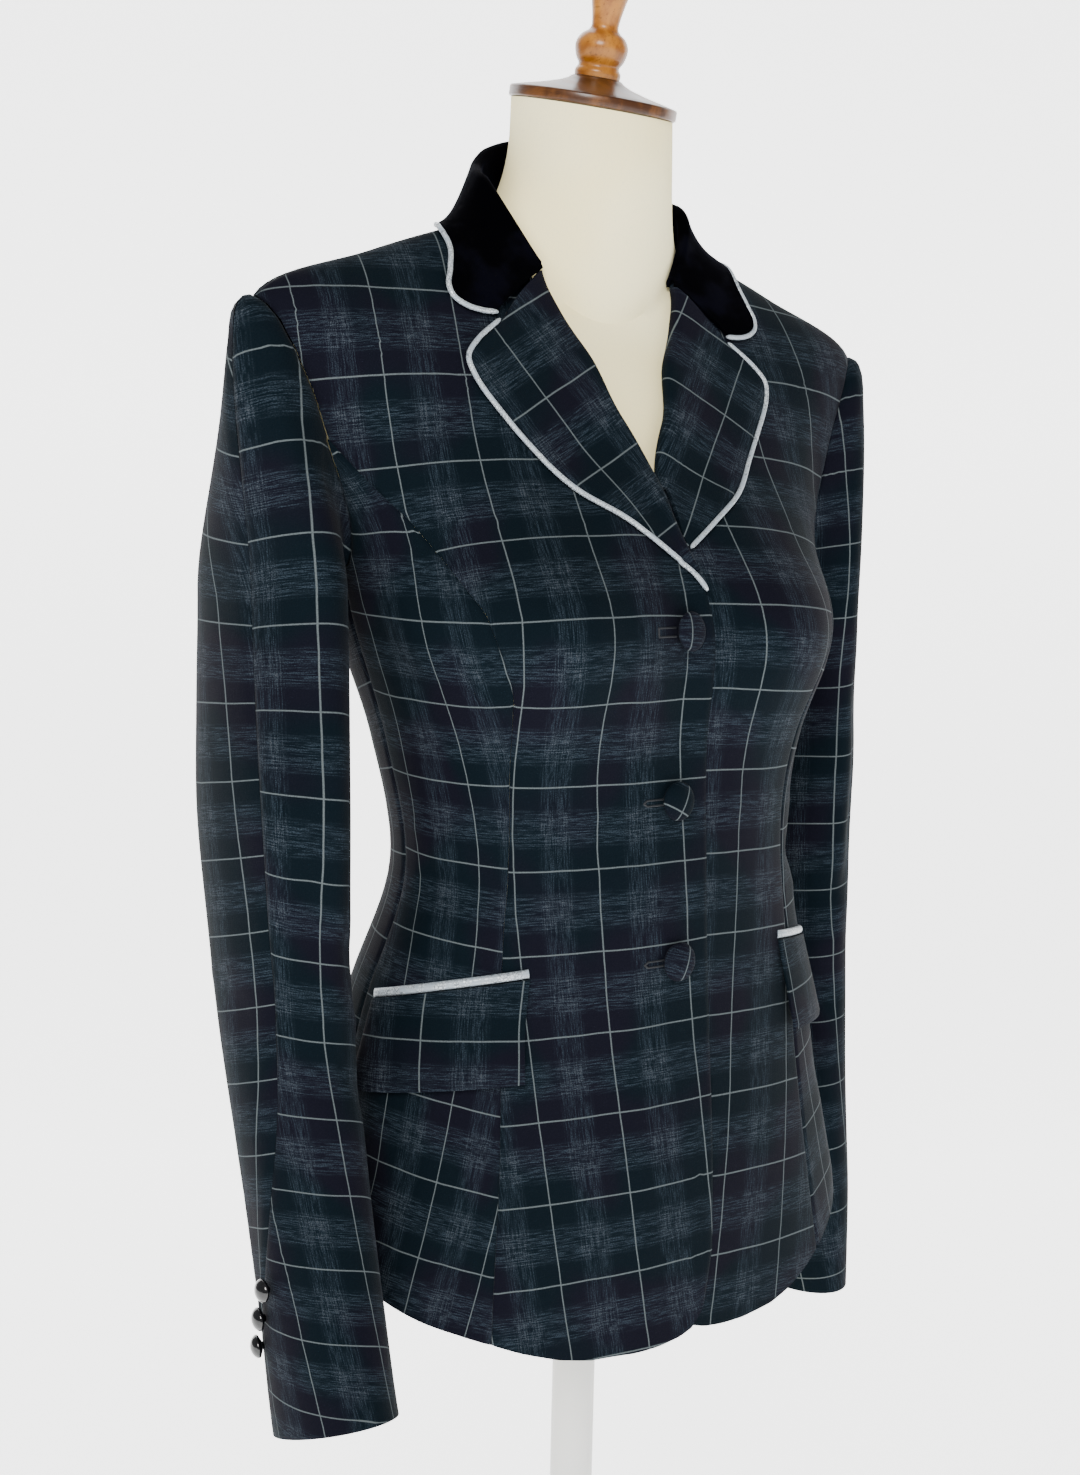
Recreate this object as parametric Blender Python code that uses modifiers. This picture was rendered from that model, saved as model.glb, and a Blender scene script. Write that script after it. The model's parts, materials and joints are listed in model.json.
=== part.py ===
"""An equestrian show coat on a limbless dress form, in metres, with Z up. The coat faces
-Y, +X is the wearer's left, and the origin is on the floor under the base."""

import math

import bpy
import numpy as np
from mathutils import Vector

CLOTH = 0.0020  # wall of the check cloth with its interlining
SEAM = 0.0005  # gap between two pieces that meet at a seam
LAP = 0.0028  # how far the right front stands off the left one under it
ROLL_SPACE = 0.0046  # the front panel ends this far from the roll line of its lapel
PIPING_RADIUS = 0.0022
BUTTON_RADIUS, BUTTON_RISE = 0.0105, 0.0055
CUFF_BUTTON_RADIUS, CUFF_BUTTON_RISE = 0.0057, 0.0068
CAP_RADIUS, CAP_TILT = 0.0465, 13.7
CAP_CENTRE = (0.0, 0.0109, 1.4310)
POLE_RADIUS = 0.0125

# One closed ring round the inside of the coat for each level, from below the hem to the
# neck. Distances are from the stand's axis, and z is above the floor.
BODY_COLUMNS = ("level", "z_front", "z_side", "z_back", "half_width",
                "front", "back", "middle", "squareness")
BODY = (
    (0.0, 0.740, 0.740, 0.740, 0.1900, -0.1060, 0.128, -0.006, 2.10),  # below hem
    (1.0, 0.800, 0.800, 0.800, 0.1760, -0.0990, 0.118, -0.006, 2.10),  # hem
    (2.0, 0.870, 0.870, 0.870, 0.1590, -0.0920, 0.108, -0.006, 2.10),  # hip
    (3.0, 0.945, 0.945, 0.945, 0.1455, -0.0825, 0.098, -0.009, 2.10),  # flaps
    (4.0, 1.020, 1.020, 1.020, 0.1245, -0.0785, 0.076, -0.016, 2.10),  # waist
    (5.0, 1.090, 1.090, 1.090, 0.1320, -0.0725, 0.084, -0.008, 2.20),  # ribs
    (6.0, 1.150, 1.150, 1.150, 0.1480, -0.0755, 0.093, -0.002, 2.50),  # bust
    (7.0, 1.198, 1.198, 1.198, 0.1570, -0.0610, 0.100, 0.006, 2.10),  # armpit
    (8.0, 1.232, 1.258, 1.255, 0.1840, -0.0460, 0.100, 0.011, 1.75),  # chest
    (9.0, 1.262, 1.311, 1.300, 0.2020, -0.0370, 0.092, 0.012, 1.45),  # shoulder tip
    (10.0, 1.290, 1.340, 1.345, 0.1350, -0.0240, 0.074, 0.014, 1.60),  # shoulder
    (11.0, 1.315, 1.364, 1.383, 0.0660, -0.0100, 0.056, 0.016, 2.00),  # neck
)
BUST_ACROSS, BUST_HEIGHT, BUST_DEPTH = 0.080, 1.145, 0.022
BUST_WIDE, BUST_TALL = 0.042, 0.046

# The level of each row of a body panel, the same for neighbours, so their edges agree.
ROWS = (0.80, 1.20, 1.65, 2.10, 2.55, 3.00, 3.45, 3.90, 4.35, 4.80, 5.25, 5.65,
        6.05, 6.35, 6.62, 6.90, 7.20, 7.48, 7.77, 8.08, 8.34, 8.58, 8.76, 8.90,
        9.02, 9.35, 9.75, 10.10, 10.40, 10.65, 10.84, 10.985)
JUNCTION = 7.77  # level where the princess seam runs into the armhole
SIDE = 95.0  # angle of the side seam

# Curves on the body, by level: angles grow from the centre front round each side, and a
# negative angle is past the centre.
FRONT_EDGE = ((0.55, 4.0), (0.62, -0.6), (0.80, -3.0), (1.20, -5.3), (1.80, -6.5),
              (2.40, -7.5), (3.05, -8.4), (3.60, -8.8), (4.20, -9.3), (4.75, -9.0),
              (5.60, -7.5), (6.23, -6.1))
PRINCESS = ((0.80, 38.9), (1.70, 40.3), (2.60, 41.7), (3.31, 44.8), (3.75, 48.0),
            (4.10, 48.4), (4.70, 46.7), (5.48, 44.5), (6.17, 47.0), (6.86, 55.9),
            (7.12, 59.5), (7.46, 67.5), (7.77, 75.3))
ARMHOLE_FRONT = ((7.77, 75.3), (8.20, 74.9), (8.55, 76.0), (8.80, 79.5), (8.93, 84.0),
                 (9.02, 90.0), (11.0, 90.0))
ARMHOLE_BACK = ((0.0, SIDE), (6.60, SIDE), (6.70, 103.0), (6.95, 112.0), (7.40, 119.0),
                (7.95, 121.0), (8.40, 117.0), (8.75, 108.0), (8.92, 99.0),
                (9.02, 90.0), (11.0, 90.0))
# Curves on the body, by angle.
HEM = ((-3.0, 0.80), (-1.2, 0.67),
       (0.5, 0.59), (3.0, 0.545), (7.0, 0.515), (12.0, 0.50), (20.0, 0.515),
       (26.0, 0.57), (33.0, 0.67), (39.0, 0.77), (46.0, 0.87), (54.0, 0.97),
       (66.0, 1.14), (80.0, 1.26), (95.0, 1.28), (120.0, 1.20), (150.0, 1.10),
       (180.0, 1.06))
UNDERARM = ((76.0, 7.77), (77.4, 7.42), (80.5, 7.10), (85.0, 6.84), (90.0, 6.66),
            (95.0, 6.60))
# Curves on the body as (angle, level) points, in order.
ROLL = ((-6.1, 6.23), (-3.3, 6.72), (-1.3, 7.10), (0.3, 7.72), (4.0, 8.85),
        (13.3, 10.10), (26.0, 10.62), (42.2, 10.97))
LAPEL_EDGE = ((-6.0, 6.23), (-2.8, 6.49), (3.0, 6.74), (12.6, 7.18), (20.0, 7.58),
              (25.0, 8.10), (29.5, 8.60), (34.3, 8.98), (37.0, 9.20), (38.2, 9.50),
              (38.6, 9.96))
COLLAR_EDGE = ((39.2, 10.02), (42.5, 9.88), (47.0, 9.82), (51.5, 9.84), (55.5, 9.93),
               (61.0, 10.15), (70.0, 10.38), (90.0, 10.55), (120.0, 10.62),
               (150.0, 10.60), (180.0, 10.60))
NECKLINE = ((42.9, 11.0), (60.0, 11.0), (90.0, 11.0), (135.0, 11.0), (180.0, 11.0))
FLAP_TOP = ((37.9, 3.34), (57.6, 3.27), (89.0, 3.13))
FLAP_FOOT = ((36.9, 2.64), (57.6, 2.60), (88.0, 2.51))

STAND_HEIGHT = ((42.9, 0.0), (60.0, 0.007), (90.0, 0.0180), (135.0, 0.0290),
                (180.0, 0.0330))  # collar stand above the neckline, by angle
# Mid-line of the cloth where a lapel turns over: metres across from the roll line, and
# metres off the body.
TURN_COLUMNS = ("across", "off_body")
TURN = ((0.0031, 0.0012), (0.0010, 0.0017), (0.0002, 0.0036), (0.0013, 0.0056),
        (0.0042, 0.0062))
EDGE_OFF = 0.0048  # mid-line of the lapels' and collar's free edges, off the body
PIPED = 2 * PIPING_RADIUS + 0.0008  # the cloth ends this far inside its piped edge

# Front buttons: name, level on the body, and how far the button stands off the cloth.
FRONT_BUTTONS = (("top", 5.98, 0.00185), ("middle", 4.54, 0.00075), ("lower", 3.37, 0.0005))
BUTTON_LINE = 0.9  # angle of the buttons past the centre front
# Share of the rise, and share of the radius, from the cloth up.
FRONT_BUTTON = ((0.0, 0.35), (0.14, 0.85), (0.38, 1.0), (0.70, 0.86), (1.0, 0.35))
CUFF_BUTTON = ((0.0, 0.35), (0.36, 0.93), (0.62, 0.96), (1.0, 0.40))

# Sleeves, from the cuff up: height, then the wearer's right and left sleeve's centre
# from front to back, distance from the axis, half width and half depth of the ring, and
# the angle round the ring of the outer seam, where 0 is outermost and 90 is the front.
SLEEVE_COLUMNS = ("z", "y_right", "y_left", "x", "half_width", "half_depth", "seam")
SLEEVE = (
    (0.700, -0.1000, 0.0270, 0.2035, 0.0275, 0.0425, -60.0),
    (0.740, -0.0880, 0.0270, 0.2030, 0.0275, 0.0420, -60.0),
    (0.775, -0.0740, 0.0270, 0.2025, 0.0275, 0.0412, -56.0),
    (0.810, -0.0610, 0.0280, 0.2010, 0.0275, 0.0402, -36.0),
    (0.850, -0.0450, 0.0300, 0.1990, 0.0280, 0.0405, 8.0),
    (0.900, -0.0262, 0.0340, 0.1970, 0.0285, 0.0440, 33.0),
    (0.950, -0.0092, 0.0395, 0.1960, 0.0290, 0.0485, 42.0),
    (1.000, 0.0012, 0.0450, 0.1950, 0.0295, 0.0555, 40.0),
    (1.060, 0.0106, 0.0500, 0.1940, 0.0300, 0.0635, 36.0),
    (1.120, 0.0219, 0.0480, 0.1890, 0.0295, 0.0646, 30.0),
    (1.165, 0.0290, 0.0450, 0.1858, 0.0280, 0.0648, 26.0),
)
CUFF_RIGHT, CUFF_LEFT = 0.7670, 0.7100  # heights of the middle of the cuffs' edges
SLEEVE_ROWS = (0.0, 0.08, 0.16, 0.24, 0.325, 0.415, 0.51, 0.61, 0.71, 0.80, 0.90, 1.0)
# Height above the edge of the cuff, and how far inside the sleeve's smooth ring its flat
# facets lie there, on the right and on the left.
CUFF_BUTTONS = ((0.0400, 0.0000, -0.0003), (0.0525, 0.0004, 0.0001), (0.0650, -0.0003, 0.0))

# The form inside: level of the coat, and how far the form is inside the cloth there.
FORM_INSET = ((1.42, 0.0200), (2.0, 0.0160), (2.5, 0.0110), (3.0, 0.0075),
              (3.5, 0.0055), (4.0, 0.0045), (4.5, 0.0045), (5.0, 0.0040),
              (5.5, 0.0042), (6.0, 0.0044), (6.5, 0.0042), (7.0, 0.0040),
              (7.5, 0.0036), (8.0, 0.0032), (8.5, 0.0027), (9.0, 0.0022),
              (9.5, 0.0018), (10.0, 0.0018), (10.5, 0.0020), (11.0, 0.0024))
ARM_END = 0.1700  # half width of the form across its plain, closed arm ends

CAP_PROFILE = ((0.0, 0.0457), (0.0010, 0.0465), (0.0050, 0.0465), (0.0062, 0.0450),
               (0.0105, 0.0270), (0.0160, 0.0136))  # height, radius
FINIAL = ((0.0, 0.0125), (0.0030, 0.0126), (0.0060, 0.0112), (0.0100, 0.0134),
          (0.0160, 0.0145), (0.0210, 0.0122), (0.0245, 0.0080), (0.0290, 0.0076),
          (0.0400, 0.0098), (0.0480, 0.0125), (0.0540, 0.0122), (0.0590, 0.0085),
          (0.0610, 0.0020))  # height, radius
BASE_PROFILE = ((0.0, 0.1700), (0.0060, 0.1700), (0.0100, 0.1680), (0.0130, 0.1600),
                (0.0150, 0.0500), (0.0200, 0.0300), (0.0300, 0.0215), (0.0420, 0.0200))


def smooth(knots, values, at):
    """A cubic curve through the knots of a table."""
    knots = np.asarray(knots, float)
    values = np.asarray(values, float)
    at = np.clip(np.asarray(at, float), knots[0], knots[-1])
    slope = np.gradient(values, knots)
    i = np.clip(np.searchsorted(knots, at, side="right") - 1, 0, len(knots) - 2)
    step = knots[i + 1] - knots[i]
    t = (at - knots[i]) / step
    return (
        (2 * t**3 - 3 * t**2 + 1) * values[i]
        + (t**3 - 2 * t**2 + t) * step * slope[i]
        + (3 * t**2 - 2 * t**3) * values[i + 1]
        + (t**3 - t**2) * step * slope[i + 1]
    )


def along(curve, at):
    """The second column of a two-column curve, where its first column is `at`."""
    return np.interp(at, [row[0] for row in curve], [row[1] for row in curve])


def ease(low, high, value):
    """0 below low, 1 above high, and a soft step between."""
    t = np.clip((np.asarray(value, float) - low) / (high - low), 0, 1)
    return t * t * (3 - 2 * t)


def column(table, names, name, at):
    """One named column of a table, as a smooth curve over its first column."""
    i = names.index(name)
    return smooth([row[0] for row in table], [row[i] for row in table], at)


def inner_body(angle, level):
    """A point on the inside of the coat's cloth; the angle is in degrees, 0 at the
    centre front."""
    turn = np.radians(angle)
    c = np.cos(turn)
    s = np.sin(turn)
    power = column(BODY, BODY_COLUMNS, "squareness", level)
    reach = (np.abs(c) ** power + np.abs(s) ** power) ** (-1 / power)
    middle = column(BODY, BODY_COLUMNS, "middle", level)
    front = column(BODY, BODY_COLUMNS, "front", level)
    back = column(BODY, BODY_COLUMNS, "back", level)
    z_side = column(BODY, BODY_COLUMNS, "z_side", level)
    z_front = column(BODY, BODY_COLUMNS, "z_front", level)
    z_back = column(BODY, BODY_COLUMNS, "z_back", level)
    x = column(BODY, BODY_COLUMNS, "half_width", level) * s * reach
    y = middle + (np.where(c > 0, front, back) - middle) * np.abs(c) * reach
    z = z_side + (np.where(c > 0, z_front, z_back) - z_side) * c * c
    bust = BUST_DEPTH * np.clip(1.6 * c, 0, 1) * np.exp(
        -(((np.abs(x) - BUST_ACROSS) / BUST_WIDE) ** 2) / 2
        - ((z - BUST_HEIGHT) / BUST_TALL) ** 2 / 2
    )
    return np.stack([x, y - bust, z], -1)


def steps_on_body(angle, level):
    """How a point on the body moves, in metres, for each degree and for each level."""
    level = np.asarray(level, float)
    high = np.minimum(level + 0.02, 11.0)
    low = high - 0.04
    across = (inner_body(angle + 0.5, level) - inner_body(angle - 0.5, level))
    up = (inner_body(angle, high) - inner_body(angle, low)) / 0.04
    return across, up


def body(angle, level, off=0.0):
    """A point `off` metres outside inner_body, along its normal."""
    angle, level, off = np.broadcast_arrays(
        np.asarray(angle, float), np.asarray(level, float), np.asarray(off, float)
    )
    across, up = steps_on_body(angle, level)
    normal = np.cross(across, up)
    normal /= np.linalg.norm(normal, axis=-1, keepdims=True)
    return inner_body(angle, level) + normal * off[..., None]


def run(points, at):
    """(angle, level) at shares `at` of the length of a curve on the body."""
    points = np.asarray(points, float)
    steps = np.linalg.norm(np.diff(inner_body(points[:, 0], points[:, 1]), axis=0), axis=1)
    length = np.concatenate([[0], np.cumsum(steps)])
    length /= length[-1]
    return np.stack([smooth(length, points[:, 0], at), smooth(length, points[:, 1], at)], -1)


def beside(points, distance):
    """A curve on the body moved sideways by `distance` metres: to the right of the way
    it runs, seen from outside, or to the left where the distance is negative."""
    points = np.asarray(points, float)
    across, up = steps_on_body(points[:, 0], points[:, 1])
    place = inner_body(points[:, 0], points[:, 1])
    tangent = np.gradient(place, axis=0)
    normal = np.cross(across, up)
    right = np.cross(tangent, normal)
    right *= np.asarray(distance, float).reshape(-1, 1) / np.linalg.norm(
        right, axis=1, keepdims=True
    )
    moved = points.copy()
    for i in range(len(points)):
        ways = np.stack([across[i], up[i]], 1)
        moved[i] += np.linalg.lstsq(ways, right[i], rcond=None)[0]
    return moved


def degrees_for(distance, angle, level):
    """How many degrees round the body `distance` metres are."""
    across, _ = steps_on_body(angle, level)
    return distance / np.maximum(np.linalg.norm(across, axis=-1), 1e-5)


def panel(first, last, top, shares, rows):
    """(angle, level) grids of a body panel between two edge curves, from the hem up.
    `first` and `last` give the angle at a level; `top` gives the level of its top at an
    angle, or is None where the rows run to the last one."""
    rows = np.asarray(rows, float)[:, None]
    shares = np.asarray(shares, float)[None, :]
    level = np.broadcast_to(rows, (rows.shape[0], shares.shape[1])).copy()
    fade = 1 - ease(rows[0, 0], 2.6, rows)
    start = 6.05
    for _ in range(12):
        a = first(level[:, :1])
        b = last(level[:, -1:])
        a = a + degrees_for(SEAM / 2, a, level[:, :1])
        b = b - degrees_for(SEAM / 2, b, level[:, -1:])
        angle = a + (b - a) * shares
        level = rows + (along(HEM, angle) - rows[0, 0]) * fade
        if top is not None:
            squeeze = (along(top, angle) - start) / (JUNCTION - start)
            level = np.where(rows > start, start + (rows - start) * squeeze, level)
    return angle, level


ROLL_FINE = run(ROLL, np.linspace(0, 1, 60))
PANEL_AT_ROLL = beside(ROLL_FINE, ROLL_SPACE * ease(6.3, 7.0, ROLL_FINE[:, 1]))


LAPEL_CLOTH = beside(run(LAPEL_EDGE, np.linspace(0, 1, 60)), -PIPED)
COLLAR_CLOTH = beside(run(COLLAR_EDGE, np.linspace(0, 1, 60)), -PIPED)


def centre_boundary(level):
    """Angle of the front panel's free edge: the front edge, then along the roll line."""
    at_roll = np.interp(level, PANEL_AT_ROLL[:, 1], PANEL_AT_ROLL[:, 0])
    return np.where(level < FRONT_EDGE[-1][0], along(FRONT_EDGE, level), at_roll)


def front_side(level):
    """Angle of the front panel's other edge: princess seam, armhole, shoulder seam."""
    armhole = along(ARMHOLE_FRONT, level)
    return np.where(level < JUNCTION, along(PRINCESS, level), armhole)


def front_panel():
    shares = (0, 0.02, 0.055, 0.10, 0.18, 0.30, 0.44, 0.58, 0.72, 0.86, 1)
    return panel(centre_boundary, front_side, None, shares, ROWS)


def side_panel():
    rows = [row for row in ROWS if row <= JUNCTION]
    return panel(
        lambda level: along(PRINCESS, level),
        lambda level: np.full_like(level, SIDE),
        UNDERARM, np.linspace(0, 1, 6), rows,
    )


def back_panel():
    return panel(
        lambda level: along(ARMHOLE_BACK, level),
        lambda level: np.full_like(level, 180.0),
        None, np.linspace(0, 1, 8), ROWS,
    )


def lift(side, angle, level):
    """How far a front is lifted: the right one lies over the left near the centre, up
    to where the lapels part."""
    if side > 0:
        return np.zeros(np.broadcast(angle, level).shape)
    x = inner_body(angle, level)[..., 0]
    return LAP * (1 - ease(0.026, 0.055, x)) * (1 - ease(7.5, 8.8, level))


def on_side(side, points):
    """The points, mirrored for the wearer's right (side -1)."""
    return np.asarray(points) * np.array([side, 1, 1])


def crossing_of_right_roll():
    """The line, in the left side's angles, where the left lapel dips under the right
    front: just short of the right roll."""
    clear = beside(ROLL_FINE, -0.0022)
    return np.stack([-clear[:, 0], clear[:, 1]], -1)


def lapel_share(side, widths):
    """For each column of a lapel, the share along its length where it starts."""
    if side < 0:
        return np.full(len(widths), 0.09)
    edge = crossing_of_right_roll()
    starts = []
    for w in widths:
        t = np.linspace(0.02, 0.7, 400)
        points = run(ROLL, t) * (1 - w) + run(LAPEL_CLOTH, t) * w
        past = points[:, 0] > np.interp(points[:, 1], edge[:, 1], edge[:, 0])
        starts.append(t[np.argmax(past)] if past.any() else t[0])
    return np.asarray(starts)


def lapel_points(side, rows):
    """Grid of the mid-line of a lapel's cloth: rows go up along the roll, columns from
    under the turn to the free edge."""
    shares = np.concatenate([np.zeros(len(TURN)), np.linspace(0.26, 1, 6)])
    starts = lapel_share(side, shares)
    t = starts + (1 - starts) * np.linspace(0, 1, rows)[:, None]
    grid = np.zeros(t.shape + (3,))
    for j in range(len(shares)):
        fold = run(ROLL, t[:, j])
        edge = run(LAPEL_CLOTH, t[:, j])
        width = np.linalg.norm(
            inner_body(edge[:, 0], edge[:, 1]) - inner_body(fold[:, 0], fold[:, 1]), axis=1
        )
        if j < len(TURN):
            across, off = TURN[j]
            share = np.minimum(across / width, 0.04 + 0.12 * abs(j - 2))
            tucked = ease(6.75, 7.1, fold[:, 1])
            off = np.where(j < 2, off + (1 - tucked) * (0.0036 - off), off)
            off = off + (1 - tucked) * np.where(j > 2, -0.0008 * (j - 2), 0.0)
        else:
            share = np.full(rows, shares[j])
            off = TURN[-1][1] + (EDGE_OFF - TURN[-1][1]) * ease(0.1, 0.6, share)
        place = fold * (1 - share[:, None]) + edge * share[:, None]
        off = off + lift(side, place[:, 0], place[:, 1])
        grid[:, j] = on_side(side, body(place[:, 0], place[:, 1], off))
    return grid


def collar_points(columns):
    """Grid of the mid-line of the collar's cloth, from one notch round the back to the
    other; rows go from the foot of the stand over the fold to the free edge."""
    shares = np.concatenate([np.linspace(0, 0.28, columns // 3, endpoint=False),
                             np.linspace(0.28, 1, columns - columns // 3)])
    neck = run(NECKLINE, shares)
    edge = run(COLLAR_CLOTH, shares)
    height = along(STAND_HEIGHT, neck[:, 0])
    foot = body(neck[:, 0], 11.0)
    across, _ = steps_on_body(neck[:, 0], 11.0)
    flat = np.cross(across, [0, 0, 1.0])
    flat /= np.linalg.norm(flat, axis=1, keepdims=True)
    lean = 0.10 * np.sin(np.radians(neck[:, 0]))[:, None]
    upward = np.array([0, 0, 1.0]) - flat * lean
    rows = []
    for share in (0.0, 0.5, 1.0):
        rise = 0.0026 + height * share
        rows.append(foot + flat * 0.0010 + upward * rise[:, None])
    top = 0.0026 + height
    for turn in (40, 90, 140):
        out = 0.0036 - 0.0026 * math.cos(math.radians(turn))
        rise = top + 0.0026 * math.sin(math.radians(turn))
        rows.append(foot + flat * out + upward * rise[:, None])
    start = foot + flat * 0.0062 + upward * top[:, None]
    for share in np.linspace(0.03, 1, 6):
        place = neck * (1 - share) + edge * share
        off = TURN[-1][1] + (EDGE_OFF - TURN[-1][1]) * share
        lying = body(place[:, 0], place[:, 1], off)
        end = body(edge[:, 0], edge[:, 1], EDGE_OFF)
        pull = neck * 0.35 + edge * 0.65
        before = body(pull[:, 0], pull[:, 1], EDGE_OFF + 0.0008)
        drop = start - upward * (0.35 * np.linalg.norm(end - start, axis=1))[:, None]
        drop = drop + flat * 0.004
        curve = (
            (1 - share) ** 3 * start + 3 * (1 - share) ** 2 * share * drop
            + 3 * (1 - share) * share**2 * before + share**3 * end
        )
        stands = ease(0.0005, 0.010, height)[:, None]
        rows.append(lying * (1 - stands) + curve * stands)
    half = np.stack(rows)
    other = half[:, -2::-1] * np.array([-1, 1, 1])
    return np.concatenate([on_side(-1, half), on_side(1, other * [-1, 1, 1])], 1)


def loop_of(side, half, off):
    """The armhole edge of the body panels on one side: its front half from the shoulder
    seam down to the side seam, or its back half back up to the shoulder seam."""
    if half == "front":
        angle, level = front_panel()
        rows = [i for i, row in enumerate(ROWS) if JUNCTION <= row <= 9.02]
        upper = np.stack([angle[rows, -1], level[rows, -1]], -1)[::-1]
        angle, level = side_panel()
        lower = np.stack([angle[-1], level[-1]], -1)
        points = np.concatenate([upper, lower[1:]])
    else:
        angle, level = back_panel()
        rows = [i for i, row in enumerate(ROWS) if 6.6 <= row <= 9.02]
        points = np.stack([angle[rows, 0], level[rows, 0]], -1)
    return on_side(side, body(points[:, 0], points[:, 1], off))


def spaced(points, count):
    """`count` points evenly spaced along a polyline, just short of both its ends."""
    steps = np.linalg.norm(np.diff(points, axis=0), axis=1)
    length = np.concatenate([[0], np.cumsum(steps)])
    at = np.linspace(SEAM, length[-1] - SEAM, count)
    return np.stack([np.interp(at, length, points[:, i]) for i in range(3)], -1)


def sleeve_ring(side, z, angles, inside=0.0):
    """Points of a sleeve ring at a height, at angles round it, and the way the sleeve
    runs up there. The ring is smaller by `inside` for the inner face."""
    name = "y_right" if side < 0 else "y_left"
    z_near = np.array([z - 0.01, z, z + 0.01])
    below, y, above = column(SLEEVE, SLEEVE_COLUMNS, name, z_near)
    upward = np.array([0, (above - below) / 0.02, 1.0])
    upward /= np.linalg.norm(upward)
    forward = np.array([0, -upward[2], upward[1]])
    x = float(column(SLEEVE, SLEEVE_COLUMNS, "x", z))
    wide = float(column(SLEEVE, SLEEVE_COLUMNS, "half_width", z)) - inside
    deep = float(column(SLEEVE, SLEEVE_COLUMNS, "half_depth", z)) - inside
    turn = np.radians(angles)[:, None]
    points = np.array([x, y, z]) + np.cos(turn) * np.array([wide, 0, 0])
    points = points + np.sin(turn) * forward * deep
    return on_side(side, points), upward


def sleeve_seam(side, z):
    """Angle of the outer seam round a sleeve. Both sleeves are cut alike, so the seam
    swings back at the same distance above the cuff."""
    cuff = CUFF_RIGHT if side < 0 else CUFF_LEFT
    share = (z - cuff) / (SLEEVE[-1][0] - cuff)
    level = CUFF_RIGHT + share * (SLEEVE[-1][0] - CUFF_RIGHT)
    return float(column(SLEEVE, SLEEVE_COLUMNS, "seam", level))


def sleeve_points(side, half, columns, inside):
    """Grid of one half of a sleeve from the cuff up to the armhole: the outer face, or
    the inner face where `inside` is the thickness of the cloth."""
    rows = []
    cuff = CUFF_RIGHT if side < 0 else CUFF_LEFT
    for z in cuff + (SLEEVE[-1][0] - cuff) * np.array(SLEEVE_ROWS):
        seam = sleeve_seam(side, z)
        if half == "front":
            angles = np.linspace(seam + 0.5, 179.7, columns)
        else:
            angles = np.linspace(180.3, 359.5 + seam, columns)
        points, upward = sleeve_ring(side, z, angles, inside)
        rows.append(points)
    whole = np.concatenate([loop_of(side, "front", 0), loop_of(side, "back", 0)])
    centre = whole.mean(axis=0)
    loop = spaced(loop_of(side, half, 0.0004), columns)
    outward = (spaced(loop_of(side, half, 0.0104), columns) - loop) / 0.01
    outward = outward + np.array([side * 1.2, 0, 0])
    outward /= np.linalg.norm(outward, axis=1, keepdims=True)
    way_in = (centre - loop) * [0.2, 1, 1]
    way_in /= np.linalg.norm(way_in, axis=1, keepdims=True)
    loop = loop + (0.0009 + inside) * way_in
    base = rows[-1]
    span = np.linalg.norm(base - loop, axis=1, keepdims=True)
    for share in (0.14, 0.30, 0.48, 0.66, 0.83, 1.0):
        near_base = base + upward * span * 0.36
        near_loop = loop + outward * np.minimum(0.20 * span, 0.036)
        rows.append(
            (1 - share) ** 3 * base + 3 * (1 - share) ** 2 * share * near_base
            + 3 * (1 - share) * share**2 * near_loop + share**3 * loop
        )
    return np.stack(rows)


def material(name, colour, roughness, metallic=0.0):
    made = bpy.data.materials.new(name)
    made.use_nodes = True
    shader = made.node_tree.nodes["Principled BSDF"]
    shader.inputs["Base Color"].default_value = (*colour, 1)
    shader.inputs["Roughness"].default_value = roughness
    shader.inputs["Metallic"].default_value = metallic
    made.diffuse_color = (*colour, 1)
    return made


def add(name, points, faces, look, round_off=True):
    mesh = bpy.data.meshes.new(name)
    mesh.from_pydata([tuple(p) for p in points], [], faces)
    mesh.materials.append(look)
    mesh.update()
    if round_off:
        mesh.shade_smooth()
    made = bpy.data.objects.new(name, mesh)
    COAT.objects.link(made)
    return made


def grid_faces(rows, columns, flip):
    faces = []
    for i in range(rows - 1):
        for j in range(columns - 1):
            a = i * columns + j
            face = (a, a + 1, a + columns + 1, a + columns)
            faces.append(face[::-1] if flip else face)
    return faces


def sheet(name, grid, thickness, offset, look, flip=False):
    """A grid of points made into a wall by Solidify. Its outer face is where the grid's
    rows and columns turn anticlockwise, or clockwise with flip. Offset 1 grows it
    outwards, -1 inwards and 0 both ways."""
    rows, columns = grid.shape[:2]
    made = add(name, grid.reshape(-1, 3), grid_faces(rows, columns, flip), look)
    wall = made.modifiers.new("wall", "SOLIDIFY")
    wall.thickness = thickness
    wall.offset = offset
    return made


def wall(name, inner, outer, look, flip=False):
    """A wall between the grids of its inner and outer faces, closed round its rim."""
    rows, columns = inner.shape[:2]
    count = rows * columns
    faces = grid_faces(rows, columns, flip)
    faces = [tuple(count + k for k in face) for face in faces] + [
        face[::-1] for face in faces
    ]
    bottom = list(range(columns))
    right = [i * columns + columns - 1 for i in range(1, rows)]
    top = [(rows - 1) * columns + j for j in range(columns - 2, -1, -1)]
    left = [i * columns for i in range(rows - 2, 0, -1)]
    rim = bottom + right + top + left
    for a, b in zip(rim, rim[1:] + rim[:1]):
        face = (a, b, count + b, count + a)
        faces.append(face[::-1] if flip else face)
    points = np.concatenate([inner.reshape(-1, 3), outer.reshape(-1, 3)])
    return add(name, points, faces, look)


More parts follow.
